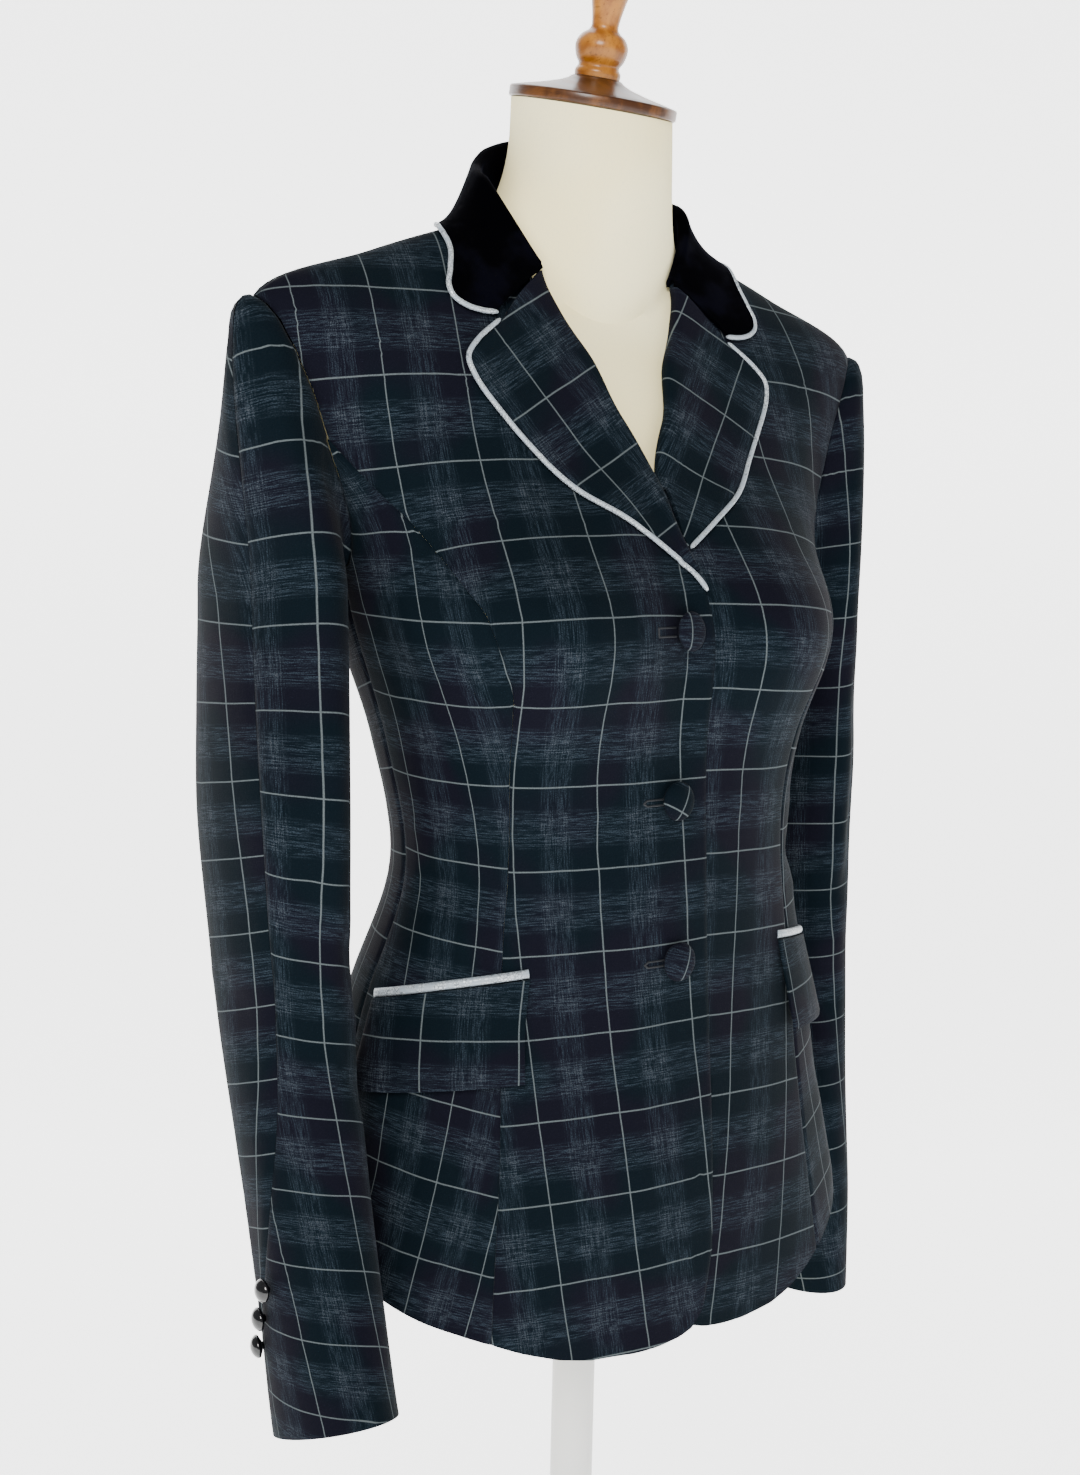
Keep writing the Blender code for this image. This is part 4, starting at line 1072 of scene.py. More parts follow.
def wall(name, inner, outer, look, flip=False, cloth=None):
    """A wall between the grids of its inner and outer faces, closed round its rim."""
    rows, columns = inner.shape[:2]
    count = rows * columns
    faces = grid_faces(rows, columns, flip, count)
    faces += [face[::-1] for face in grid_faces(rows, columns, flip)]
    bottom = list(range(columns))
    right = [i * columns + columns - 1 for i in range(1, rows)]
    top = [(rows - 1) * columns + j for j in range(columns - 2, -1, -1)]
    left = [i * columns for i in range(rows - 2, 0, -1)]
    rim = bottom + right + top + left
    for a, b in zip(rim, rim[1:] + rim[:1]):
        face = (a, b, count + b, count + a)
        faces.append(face[::-1] if flip else face)
    points = np.concatenate([inner.reshape(-1, 3), outer.reshape(-1, 3)])
    if cloth is not None:
        cloth = np.concatenate([cloth.reshape(-1, 2)] * 2)
    return add(name, points, faces, look, cloth)


def grid_normals(grid, flip):
    """The outward direction at each point of a grid."""
    normal = np.cross(np.gradient(grid, axis=1), np.gradient(grid, axis=0))
    normal /= np.linalg.norm(normal, axis=-1, keepdims=True) + 1e-12
    return -normal if flip else normal


def stacked(name, rings, look):
    """Closed rings joined into one skin, with flat ends."""
    count = len(rings[0])
    faces = []
    for i in range(len(rings) - 1):
        for j in range(count):
            k = (j + 1) % count
            faces.append((i * count + j, i * count + k, (i + 1) * count + k, (i + 1) * count + j))
    faces.append(tuple(range(count))[::-1])
    faces.append(tuple((len(rings) - 1) * count + j for j in range(count)))
    return add(name, np.concatenate(rings), faces, look)


def tube_rings(line, radii, sides, up_ways):
    """Round rings along a line; up_ways gives the direction of each ring's start."""
    line = np.asarray(line, float)
    tangent = np.gradient(line, axis=0)
    tangent /= np.linalg.norm(tangent, axis=1, keepdims=True)
    up = up_ways - (up_ways * tangent).sum(1, keepdims=True) * tangent
    up /= np.linalg.norm(up, axis=1, keepdims=True)
    aside = np.cross(tangent, up)
    turn = np.arange(sides) * 2 * math.pi / sides
    return [
        p + np.outer(np.cos(turn), a) * r + np.outer(np.sin(turn), u) * r
        for p, a, u, r in zip(line, aside, up, np.broadcast_to(radii, (len(line),)))
    ]


def turned(name, profile, sides, place, axis, look):
    """A turned piece from (height, radius) rows, from its foot to its top."""
    axis = np.asarray(axis, float) / np.linalg.norm(axis)
    right = np.cross([0, 1.0, 0] if abs(axis[1]) < 0.9 else [1.0, 0, 0], axis)
    right /= np.linalg.norm(right)
    back = np.cross(axis, right)
    turn = np.arange(sides) * 2 * math.pi / sides
    circle = np.outer(np.cos(turn), right) + np.outer(np.sin(turn), back)
    rings = [np.asarray(place) + axis * height + circle * radius for height, radius in profile]
    return stacked(name, rings, look)


def check_piece(node, inner, outer, flip, cut):
    """A panel or a sleeve half in check cloth; the size of the flat sheet it is cut from is
    printed.
    """
    made = wall(node, inner, outer, CHECK_LOOK, flip, CHECK[node])
    width, length, area = cut_size(cut)
    belongs(made, "check_cloth", node)
    print(node, "cut", round(width, 3), "x", round(length, 3), "m, area", round(area, 4))


def belongs(piece, slot, *nodes):
    """A finished piece rides on the one body and stands for its solids."""
    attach(piece, "root")
    if nodes:
        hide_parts(*nodes)
    return piece


print("helpers ready")

# %% [markdown]
# ## Creases
# Pressed wool has few creases, but it is never a plain tube: it breaks above the hip where the
# coat is drawn in, drags a little towards the waist button, hollows in front of the armhole,
# and the sleeves bend at the elbow. Each crease is one row: where it starts and ends, how high
# it is (below zero it is a trough) and how wide. Its height fades out at both ends.

# %% Creases, listed
# Side (0 for both), then the angle and level where it starts, the same for its end, then
# its height and width in metres.
BODY_CREASES = (
    (-1, 88, 4.02, 52, 3.84, -0.0022, 0.0090),
    (-1, 92, 4.40, 58, 4.22, 0.0014, 0.0100),
    (-1, 84, 3.72, 50, 3.60, 0.0013, 0.0080),
    (-1, 66, 4.70, 30, 4.48, 0.0009, 0.0100),
    (-1, 44, 4.36, 8, 4.50, 0.0008, 0.0080),
    (-1, 40, 4.12, 10, 4.34, -0.0009, 0.0090),
    (-1, 72, 6.20, 50, 5.20, 0.0011, 0.0110),
    (-1, 84, 6.30, 66, 5.30, -0.0014, 0.0120),
    (-1, 66, 8.40, 58, 7.30, -0.0018, 0.0140),
    (-1, 58, 2.30, 54, 0.95, 0.0016, 0.0150),
    (-1, 76, 2.40, 78, 1.10, -0.0016, 0.0160),
    (-1, 20, 2.60, 17, 0.70, 0.0010, 0.0160),
    (1, 90, 4.06, 50, 3.92, -0.0020, 0.0085),
    (1, 88, 4.42, 60, 4.26, 0.0013, 0.0095),
    (1, 80, 3.70, 52, 3.66, 0.0012, 0.0085),
    (1, 40, 4.40, 12, 4.52, 0.0008, 0.0080),
    (1, 74, 6.10, 52, 5.30, 0.0010, 0.0110),
    (1, 64, 8.30, 60, 7.35, -0.0016, 0.0140),
    (1, 56, 2.20, 60, 0.95, 0.0015, 0.0150),
    (1, 80, 2.30, 76, 1.15, -0.0014, 0.0150),
    (0, 170, 4.12, 118, 3.96, -0.0019, 0.0090),
    (0, 160, 4.50, 112, 4.34, 0.0013, 0.0100),
    (-1, 176, 3.80, 130, 3.66, 0.0012, 0.0090),
    (1, 166, 3.74, 124, 3.60, 0.0013, 0.0085),
    (0, 128, 7.60, 140, 6.00, -0.0016, 0.0140),
    (-1, 150, 2.70, 154, 0.95, 0.0020, 0.0170),
    (1, 146, 2.60, 142, 0.95, 0.0019, 0.0180),
    (0, 118, 2.50, 116, 1.20, -0.0016, 0.0170),
)
# The same for each sleeve, with turns round it (0 outermost, 90 the front) and heights.
SLEEVE_CREASES = {
    -1: ((70, 1.150, 74, 0.935, -0.0026, 0.0075),
         (98, 1.130, 100, 0.960, 0.0022, 0.0090),
         (44, 1.120, 46, 0.960, 0.0014, 0.0110),
         (60, 1.000, 150, 0.975, -0.0022, 0.0080),
         (66, 0.960, 156, 0.940, 0.0018, 0.0085),
         (80, 0.925, 160, 0.905, -0.0016, 0.0080),
         (-30, 0.985, 30, 0.950, -0.0013, 0.0100),
         (-96, 0.960, -40, 0.985, 0.0014, 0.0100),
         (14, 0.930, 26, 0.820, 0.0015, 0.0100),
         (-20, 0.900, -8, 0.800, -0.0012, 0.0090),
         (196, 1.100, 236, 1.050, -0.0018, 0.0100),
         (190, 0.900, 200, 0.800, 0.0014, 0.0110)),
    1: ((72, 1.140, 66, 0.955, -0.0022, 0.0080),
        (100, 1.120, 96, 0.950, 0.0019, 0.0090),
        (40, 1.110, 50, 0.930, 0.0013, 0.0110),
        (56, 0.985, 150, 0.955, -0.0021, 0.0080),
        (70, 0.945, 150, 0.925, 0.0017, 0.0085),
        (84, 0.905, 156, 0.890, -0.0014, 0.0080),
        (-36, 0.960, 26, 0.930, -0.0012, 0.0100),
        (-90, 0.930, -30, 0.955, 0.0013, 0.0100),
        (20, 0.880, 30, 0.770, 0.0014, 0.0100),
        (-24, 0.860, -10, 0.760, -0.0011, 0.0090),
        (200, 1.090, 240, 1.040, -0.0017, 0.0100),
        (188, 0.860, 196, 0.750, 0.0013, 0.0110)),
}
SEAM_ROLL, ROLL_WIDTH = 0.0009, 0.0026  # how far the outer face drops into a seam, how wide
EDGE_ROLL = 0.0007  # the same for the height of a flap's edge
NO_SEAM = 1.0  # a distance that is past any seam's roll


def crease_height(points, line, height, width):
    """The height of one crease at every point of a grid."""
    flat = points.reshape(-1, 3)
    nearest = np.full(len(flat), np.inf)
    place = np.zeros(len(flat))
    for i in range(len(line) - 1):
        way = line[i + 1] - line[i]
        share = np.clip(((flat - line[i]) @ way) / (way @ way), 0, 1)
        gap = np.linalg.norm(flat - line[i] - share[:, None] * way, axis=1)
        closer = gap < nearest
        nearest = np.where(closer, gap, nearest)
        place = np.where(closer, (i + share) / (len(line) - 1), place)
    fade = ease(0, 0.3, place) * (1 - ease(0.7, 1, place))
    bend = np.exp(-((nearest / width) ** 2))
    return (height * bend * fade).reshape(points.shape[:2])


def body_creases(side, points):
    """The sum of all creases on one side of the body."""
    total = np.zeros(points.shape[:2])
    for which, a0, l0, a1, l1, height, width in BODY_CREASES:
        if which in (0, side):
            share = np.linspace(0, 1, 9)
            line = on_side(side, inner_body(a0 + (a1 - a0) * share, l0 + (l1 - l0) * share))
            total += crease_height(points, line, height, width)
    return total


def sleeve_creases(side, points):
    """The sum of all creases on a sleeve."""
    total = np.zeros(points.shape[:2])
    for t0, z0, t1, z1, height, width in SLEEVE_CREASES[side]:
        share = np.linspace(0, 1, 9)
        line = np.stack([
            sleeve_ring(side, z0 + (z1 - z0) * s, np.array([t0 + (t1 - t0) * s]))[0][0]
            for s in share
        ])
        total += crease_height(points, line, height, width)
    return total


def rolled(from_one, from_other=NO_SEAM, roll=SEAM_ROLL):
    """How far the outer face drops beside two edges, by the metres from each."""
    near = np.minimum(from_one, from_other)
    return roll * (1 - ease(0.0, ROLL_WIDTH, near)) ** 1.5


print(len(BODY_CREASES), "creases on the body,",
      sum(map(len, SLEEVE_CREASES.values())), "on the sleeves")

# %% [markdown]
# ## The body panels
# Each panel is a wall two millimetres thick between its inner and its outer face. Both follow
# the creases, and the outer one also rolls into the seams, which makes the fine dark groove
# of a real seam with no line drawn.


# %% Body panels
def arc_from_edges(grid, axis):
    """Metres from the first and from the last edge of a grid, along one axis."""
    steps = np.linalg.norm(np.diff(grid, axis=axis), axis=2)
    length = np.cumsum(steps, axis=axis)
    zero = np.zeros_like(np.take(length, [0], axis=axis))
    length = np.concatenate([zero, length], axis=axis)
    return length, np.take(length, [-1], axis=axis) - length


LAPEL_FOOT = 6.3  # above it, a front's first edge lies hidden under the lapel
SHOULDER_SEAM = 9.1  # above it, the last row of a front or a back is the shoulder seam
for side, word in SIDES.items():
    for name, ((angle, level), _) in PANELS.items():
        node = f"{name}_{word}"
        off = lift(side, angle, level) if name == "front" else np.zeros_like(angle)
        plain = on_side(side, body(angle, level, off))
        crease = body_creases(side, plain)
        first, last = arc_from_edges(plain, 1)
        from_top = arc_from_edges(plain, 0)[1]
        if name == "front":
            first = first + NO_SEAM * (level > LAPEL_FOOT)
        if name != "side_front":
            from_top = np.where(level > SHOULDER_SEAM, from_top, NO_SEAM)
        drop = np.maximum(rolled(first, last), rolled(from_top))
        inner = on_side(side, body(angle, level, off + crease))
        outer = on_side(side, body(angle, level, off + CLOTH + crease - drop))
        check_piece(node, inner, outer, side < 0, FLAT[name])

# %% [markdown]
# ## The sleeves
# The same walls, from the sleeves' own grids. The head of a tailored sleeve is a little fuller
# than the armhole, so it rises just outside the seam before it falls away.

# %% Sleeves
HEAD_PUFF, HEAD_ROLL = 0.0016, 0.0006
for (side, half), (inner, outer) in SLEEVES.items():
    node = f"sleeve_{half}_{SIDES[side]}"
    outward = grid_normals(outer, side > 0)
    crease = sleeve_creases(side, outer)
    from_top = arc_from_edges(outer, 0)[1]
    from_seam, from_under = arc_from_edges(outer, 1)
    puff = HEAD_PUFF * ease(0.0005, 0.006, from_top) * (1 - ease(0.010, 0.030, from_top))
    puff = puff * ease(1.20, 1.25, outer[..., 2])
    drop = np.maximum(rolled(from_seam, from_under), rolled(from_top, roll=HEAD_ROLL))
    inner = inner + outward * (crease + puff)[..., None]
    outer = outer + outward * (crease + puff - drop)[..., None]
    check_piece(node, inner, outer, side > 0, SLEEVE_FLAT[(side, half)])

# %% [markdown]
# ## Lapels
# A lapel is the front's own cloth folded over along the roll line. The fold is a small round
# turn, not a crease, so the grid has many narrow columns there. The left lapel dips under the
# right front, so its columns start where the two cross.

# %% Lapel grids
# The section of the fold: metres in from the roll line, and metres off the body.
TURN = ((0.0031, 0.0012), (0.0010, 0.0017), (0.0002, 0.0036), (0.0013, 0.0056),
        (0.0042, 0.0062))
TURN_STEPS = np.linspace(0, len(TURN) - 1, 15)
FOLD_SHARE, FOLD_STEP = 0.04, 0.12  # most of a narrow lapel's width that its fold may take
TUCK_LOW, TUCK_HIGH = 6.75, 7.1  # levels between which the fold opens to its full size
LAPEL_ROWS, LAPEL_COLUMNS = 71, 24
RIGHT_START = 0.09  # share of the roll line below the right lapel's first row


def crossing_of_right_roll():
    """The line, in the left side's angles, where the left lapel dips under the right
    front: just short of the right roll."""
    clear = beside(ROLL_FINE, -0.0014)
    return np.stack([-clear[:, 0], clear[:, 1]], -1)


def lapel_share(side, widths):
    """For each column of a lapel, the share along its length where it starts."""
    if side < 0:
        return np.full(len(widths), RIGHT_START)
    edge = crossing_of_right_roll()
    starts = []
    t = np.linspace(0.02, 0.7, 400)
    roll, free = run(ROLL, t), run(LAPEL_CLOTH, t)
    for w in widths:
        points = roll * (1 - w) + free * w
        past = points[:, 0] > np.interp(points[:, 1], edge[:, 1], edge[:, 0])
        starts.append(t[np.argmax(past)] if past.any() else t[0])
    return np.asarray(starts)


def lapel_points(side):
    """Grid of the mid-line of a lapel's cloth: rows go up along the roll, columns from
    under the turn to the free edge."""
    knots = np.arange(len(TURN))
    across = smooth(knots, [row[0] for row in TURN], TURN_STEPS)
    off_turn = smooth(knots, [row[1] for row in TURN], TURN_STEPS)
    flat = np.linspace(0, 1, LAPEL_COLUMNS + 1)[1:]
    starts = lapel_share(side, np.concatenate([np.zeros(len(TURN_STEPS)), flat]))
    t = starts + (1 - starts) * np.linspace(0, 1, LAPEL_ROWS)[:, None]
    grid = np.zeros(t.shape + (3,))
    for j in range(t.shape[1]):
        fold, edge = run(ROLL, t[:, j]), run(LAPEL_CLOTH, t[:, j])
        gap = inner_body(edge[:, 0], edge[:, 1]) - inner_body(fold[:, 0], fold[:, 1])
        width = np.linalg.norm(gap, axis=1)
        last = np.minimum(across[-1] / width, FOLD_SHARE + 2 * FOLD_STEP)
        if j < len(TURN_STEPS):
            step = TURN_STEPS[j]
            share = np.minimum(across[j] / width, FOLD_SHARE + FOLD_STEP * abs(step - 2))
            tucked = ease(TUCK_LOW, TUCK_HIGH, fold[:, 1])
            off = off_turn[j] + (1 - tucked) * (
                max(0.0036 - off_turn[j], 0) if step < 2 else -0.0008 * (step - 2)
            )
        else:
            share = last + (1 - last) * flat[j - len(TURN_STEPS)]
            off = TURN[-1][1] + (EDGE_OFF - TURN[-1][1]) * ease(0.1, 0.6, share)
        place = fold * (1 - share[:, None]) + edge * share[:, None]
        off = off + lift(side, place[:, 0], place[:, 1])
        grid[:, j] = on_side(side, body_at(place, off))
    return grid


LAPEL_CUTS = {}  # each lapel with its flat places
for side, word in SIDES.items():
    grid = lapel_points(side)
    flat = flatten(grid[::2, ::2])
    tall = halved(flat, LAPEL_ROWS)
    fine = halved(tall.swapaxes(0, 1), grid.shape[1]).swapaxes(0, 1)
    normal = grid_normals(grid, side < 0)
    edge_drop = rolled(arc_from_edges(grid, 1)[1], roll=0.0006)
    outer = grid + normal * (CLOTH / 2 - edge_drop)[..., None]
    inner = grid - normal * (CLOTH / 2)
    made = wall(f"lapel_{word}", inner, outer, CHECK_LOOK, side < 0,
                on_check(fine, GRAIN[f"lapel_{word}"]))
    width, length, area = cut_size(flat)
    belongs(made, "check_cloth", f"lapel_{word}")
    LAPEL_CUTS[word] = (made, fine)
    print(f"lapel_{word} cut", round(width, 3), "x", round(length, 3), "m, area", round(area, 4))

# %% [markdown]
# ## Collar
# A tailored collar stands up round the neck, folds over and lies down on the shoulders. The
# stand is highest at the back and runs out to nothing at the notches, so the same grid serves
# all round: its stand rows simply lie on each other there.

# %% Collar
STAND_HEIGHT = ((42.9, 0.0), (60.0, 0.007), (90.0, 0.0180), (135.0, 0.0290),
                (180.0, 0.0330))  # collar stand above the neckline, by angle
COLLAR_HALF = 49  # columns from one notch to the centre back
NOTCH_SHARE, NOTCH_COLUMNS = 0.28, 18  # the part beside the notch gets more columns
FOLD_RADIUS = 0.0026
NECK_OFF, FALL_OFF = 0.0010, 0.0062  # off the neckline: the stand, and the start of the fall
FOOT_RISE, STAND_RISE, FOLD_RISE = 0.0008, 0.0018, 0.0026  # heights above the neckline
STAND_LEAN = 0.10  # how far the stand leans towards the neck at the sides


def collar_points():
    """Grid of the mid-line of the collar's cloth, from one notch round the back to the
    other; rows go from the foot of the stand over the fold to the free edge."""
    shares = np.concatenate([
        np.linspace(0, NOTCH_SHARE, NOTCH_COLUMNS, endpoint=False),
        np.linspace(NOTCH_SHARE, 1, COLLAR_HALF - NOTCH_COLUMNS),
    ])
    neck, edge = run(NECKLINE, shares), run(COLLAR_CLOTH, shares)
    height = along(STAND_HEIGHT, neck[:, 0])
    foot = body(neck[:, 0], 11.0)
    across, _ = steps_on_body(neck[:, 0], 11.0)
    flat = np.cross(across, [0, 0, 1.0])
    flat /= np.linalg.norm(flat, axis=1, keepdims=True)
    upward = np.array([0, 0, 1.0]) - flat * STAND_LEAN * np.sin(np.radians(neck[:, 0]))[:, None]
    rows = []
    for share in np.linspace(0, 1, 7):
        rise = FOOT_RISE + STAND_RISE * share + height * share
        rows.append(foot + flat * NECK_OFF + upward * rise[:, None])
    top = FOLD_RISE + height
    for turn in np.radians(np.linspace(22, 158, 9)):
        out = NECK_OFF + FOLD_RADIUS * (1 - math.cos(turn))
        rows.append(foot + flat * out + upward * (top + FOLD_RADIUS * math.sin(turn))[:, None])
    start = foot + flat * FALL_OFF + upward * top[:, None]
    end = body_at(edge, EDGE_OFF)
    pull = neck * 0.35 + edge * 0.65
    before = body_at(pull, EDGE_OFF + 0.0008)
    drop = start - upward * (0.35 * np.linalg.norm(end - start, axis=1))[:, None] + flat * 0.004
    stands = ease(0.0005, 0.010, height)[:, None]
    for share in np.linspace(0.03, 1, 20):
        place = neck * (1 - share) + edge * share
        lying = body_at(place, TURN[-1][1] + (EDGE_OFF - TURN[-1][1]) * share)
        curve = ((1 - share) ** 3 * start + 3 * (1 - share) ** 2 * share * drop
                 + 3 * (1 - share) * share**2 * before + share**3 * end)
        rows.append(lying * (1 - stands) + curve * stands)
    half = np.stack(rows)
    return np.concatenate([on_side(-1, half), half[:, -2::-1]], 1)


collar_grid = collar_points()
collar_normal = grid_normals(collar_grid, True)
edge_drop = rolled(arc_from_edges(collar_grid, 0)[1], roll=0.0005)
collar = wall("collar", collar_grid - collar_normal * CLOTH / 2,
              collar_grid + collar_normal * (CLOTH / 2 - edge_drop)[..., None], VELVET_LOOK, True)
belongs(collar, "velvet", "collar")
width, length, area = cut_size(flatten(collar_grid[::3, ::2]))
for word, (lapel, cut) in LAPEL_CUTS.items():
    width, length, area = cut_size(cut)
print("collar:", collar_grid.shape[:2], "points")

# %% [markdown]
# ## Piping
# The piping is a strip of satin folded round a thin string, so its section is round. It
# follows the free edges of the collar and the lapels at a steady distance, as far as the
# notches.

# %% Piping
CORD_RADIUS, CORD_SIDES = 0.0014, 14


def piping(name, line, ways_up):
    """A cord along a line, with rounded ends."""
    end = np.minimum(np.arange(len(line)), np.arange(len(line))[::-1])
    radii = CORD_RADIUS * np.sqrt(
        np.clip(1 - (1 - np.clip((end + 0.3) / 2.5, 0, 1)) ** 2, 0.04, 1)
    )
    made = stacked(name, tube_rings(line, radii, CORD_SIDES, ways_up), SATIN_LOOK)
    return belongs(made, "satin", name)


def off_ways(places):
    """The outward direction of the body at (angle, level) places."""
    return (body_at(places, 0.01) - body_at(places)) / 0.01


for side, word in SIDES.items():
    start = lapel_share(side, [1.0])[0] if side > 0 else 0.03
    places = beside(run(LAPEL_EDGE, np.linspace(start, 0.998, 120)), -PIPING_RADIUS)
    line = body_at(places, EDGE_OFF + lift(side, places[:, 0], places[:, 1]))
    piping(f"lapel_piping_{word}", on_side(side, line), on_side(side, off_ways(places)))
places = beside(run(COLLAR_EDGE, np.linspace(0.002, 1, 110)), -PIPING_RADIUS)
line, ways = body_at(places, EDGE_OFF), off_ways(places)
line = np.concatenate([on_side(-1, line), line[-2::-1]])
ways = np.concatenate([on_side(-1, ways), ways[-2::-1]])
piping("collar_piping", line, ways)
collar_edge = np.linalg.norm(np.diff(line, axis=0), axis=1).sum()
print("piping along", round(float(collar_edge), 3), "m of collar edge")

# %% [markdown]
# ## Pocket flaps
# Each flap hangs from its top edge and leans out from the coat towards its foot. Its check was
# not matched to the panel behind it, so it has its own place: one warp line just inside the
# front edge, and one weft line that slopes a little across it.

# %% Flaps and their satin strips
FLAP_LINE_INSIDE = 0.0035  # the first warp line, from the flap's front edge
FLAP_LINE_DOWN = (0.61, 0.38)  # how far down the weft line is, at the front and rear edge
FLAP_OFF, FLAP_LEAN, FLAP_BOW = 0.0024, 0.0046, 0.0008  # off the coat at its top, then more
STRIP_OFF, STRIP_WIDE = 0.0023, 0.0046
for side, word in SIDES.items():
    shares, downs = np.linspace(0, 1, 45), np.linspace(0, 1, 21)
    top, foot = run(FLAP_TOP, shares), run(FLAP_FOOT, shares)
    inner, outer = [], []
    for share in downs:
        place = foot + (top - foot) * share
        off = FLAP_OFF + FLAP_LEAN * (1 - share) ** 1.5
        bow = FLAP_BOW * math.sin(math.pi * share) * np.sin(np.pi * 1.3 * shares + 0.4)
        inner.append(body_at(place, off + bow))
        outer.append(body_at(place, off + bow + CLOTH))
    inner, outer = on_side(side, np.stack(inner)), on_side(side, np.stack(outer))
    first, last = arc_from_edges(outer, 1)
    up_from, down_from = arc_from_edges(outer, 0)
    drop = np.maximum(rolled(first, last, EDGE_ROLL), rolled(up_from, roll=EDGE_ROLL))
    outer = outer - grid_normals(outer, side < 0) * drop[..., None]
    height = (up_from + down_from).mean()
    share = first / (first + last)
    line_down = height * (FLAP_LINE_DOWN[0] + (FLAP_LINE_DOWN[1] - FLAP_LINE_DOWN[0]) * share)
    chart = np.stack([first - FLAP_LINE_INSIDE, line_down - down_from], -1)
    made = wall(f"flap_{word}", inner, outer, CHECK_LOOK, side < 0, chart)
    belongs(made, "check_cloth", f"flap_{word}")
    width, length = float((first + last).mean()), float(height)
    strip_in, strip_out = [], []
    ends = np.sqrt(np.clip(1 - (np.abs(2 * shares - 1) ** 24), 0.1, 1))
    for share in np.linspace(0, 1, 9):
        place = beside(top, -0.0006 - STRIP_WIDE * share)
        height = 0.0003 + 0.0018 * math.sqrt(max(1 - (2 * share - 1) ** 2, 0.02))
        strip_in.append(body_at(place, STRIP_OFF))
        strip_out.append(body_at(place, STRIP_OFF + height * ends))
    made = wall(f"flap_strip_{word}", on_side(side, np.stack(strip_in)),
                on_side(side, np.stack(strip_out)), SATIN_LOOK, side < 0)
    belongs(made, "satin", f"flap_strip_{word}")
    print(f"flap_{word}:", round(width, 3), "x", round(length, 3), "m")

# %% [markdown]
# ## Buttons
# The front buttons are domes covered in the same check, so each shows its own small piece of
# the pattern: a line that leans by a few degrees. The cuff buttons are glossy and have a rim.

# %% Buttons
BUTTON_RADIUS, BUTTON_RISE = 0.0105, 0.0055
CUFF_BUTTON_RADIUS, CUFF_BUTTON_RISE = 0.0057, 0.0068
BUTTON_LINE = 0.9  # angle of the buttons past the centre front
# Level, stand-off, then the place of the check: lean in degrees, pale line across and weft
# line up, in radii.
FRONT_BUTTONS = {
    "top": (5.98, 0.00185, 3.0, -0.30, 2.1),
    "middle": (4.54, 0.00075, 27.0, 0.22, -0.50),
    "lower": (3.37, 0.00050, 19.0, 0.33, 2.1),
}
# Share of the rise, and share of the radius, from the cloth up.
FRONT_BUTTON = ((0.0, 0.35), (0.06, 0.70), (0.14, 0.87), (0.25, 0.96), (0.38, 1.0),
                (0.52, 0.975), (0.66, 0.90), (0.78, 0.78), (0.88, 0.60), (0.95, 0.40),
                (0.99, 0.20), (1.0, 0.02))
CUFF_BUTTON = ((0.0, 0.30), (0.12, 0.34), (0.22, 0.60), (0.34, 0.92), (0.42, 0.99),
               (0.52, 1.0), (0.60, 0.96), (0.66, 0.90), (0.76, 0.80), (0.86, 0.63),
               (0.94, 0.42), (0.985, 0.20), (1.0, 0.02))
# Height above the cuff, then how far it is sunk into the right and the left sleeve.
CUFF_BUTTONS = ((0.0400, {-1: 0.0000, 1: -0.0003}), (0.0525, {-1: 0.0004, 1: 0.0001}),
                (0.0650, {-1: -0.0003, 1: 0.0}))
BEHIND_SEAM = 16.0  # degrees round the sleeve from its seam to the buttons


def cloth_button(name, level, stand_off, lean, line_across, weft_up):
    """A button covered in check cloth, over the centre line."""
    base = body(BUTTON_LINE, level, LAP + CLOTH + stand_off) * [-1, 1, 1]
    outward = (body(BUTTON_LINE, level, 0.01) - body(BUTTON_LINE, level)) * [-1, 1, 1]
    profile = [(h * BUTTON_RISE, r * BUTTON_RADIUS) for h, r in FRONT_BUTTON]
    made = turned(f"button_{name}", profile, 64, base, outward, CHECK_LOOK)
    places = np.zeros((len(made.data.vertices), 3))
    made.data.vertices.foreach_get("co", places.reshape(-1))
    outward = outward / np.linalg.norm(outward)
    right = np.cross([0, 0, 1.0], outward)
    right /= np.linalg.norm(right)
    x, y = (places - base) @ right, (places - base) @ np.cross(outward, right)
    angle = math.radians(lean)
    chart = np.stack([
        x * math.cos(angle) - y * math.sin(angle) - line_across * BUTTON_RADIUS,
        x * math.sin(angle) + y * math.cos(angle) - weft_up * BUTTON_RADIUS,
    ], -1)
    chart_cloth(made.data, chart)
    return belongs(made, "check_cloth", f"button_{name}")


for name, row in FRONT_BUTTONS.items():
    cloth_button(name, *row)
for side, word in SIDES.items():
    for number, (height, sunk) in enumerate(CUFF_BUTTONS, 1):
        z = CUFF[side] + height
        turn = sleeve_seam(side, z) + BEHIND_SEAM
        points, upward = sleeve_ring(side, z, np.array([turn - 3, turn, turn + 3]))
        outward = np.cross(points[2] - points[0], upward) * -side
        outward /= np.linalg.norm(outward)
        place = points[1] - outward * sunk[side]
        profile = [(h * CUFF_BUTTON_RISE, r * CUFF_BUTTON_RADIUS) for h, r in CUFF_BUTTON]
        made = turned(f"cuff_button_{word}_{number}", profile, 40, place, outward, GLOSS_LOOK)
        belongs(made, "button_gloss", f"cuff_button_{word}_{number}")
print("buttons:", len(FRONT_BUTTONS), "on the front,", 2 * len(CUFF_BUTTONS), "on the cuffs")

# %% [markdown]
# ## Buttonholes
# A worked buttonhole is two rows of purl stitches with a bar at the end. Each one reaches from
# under its button towards the wearer's right. Here a thin cord follows its outline, pressed
# half into the cloth.

# %% Buttonholes
HOLE_THREAD = 0.00055
HOLES = {  # height of the hole, how far it reaches past the button, and its point
    "top": (0.0042, 0.0125, 0.0),
    "middle": (0.0030, 0.0110, 0.0022),
    "lower": (0.0030, 0.0105, 0.0022),
}


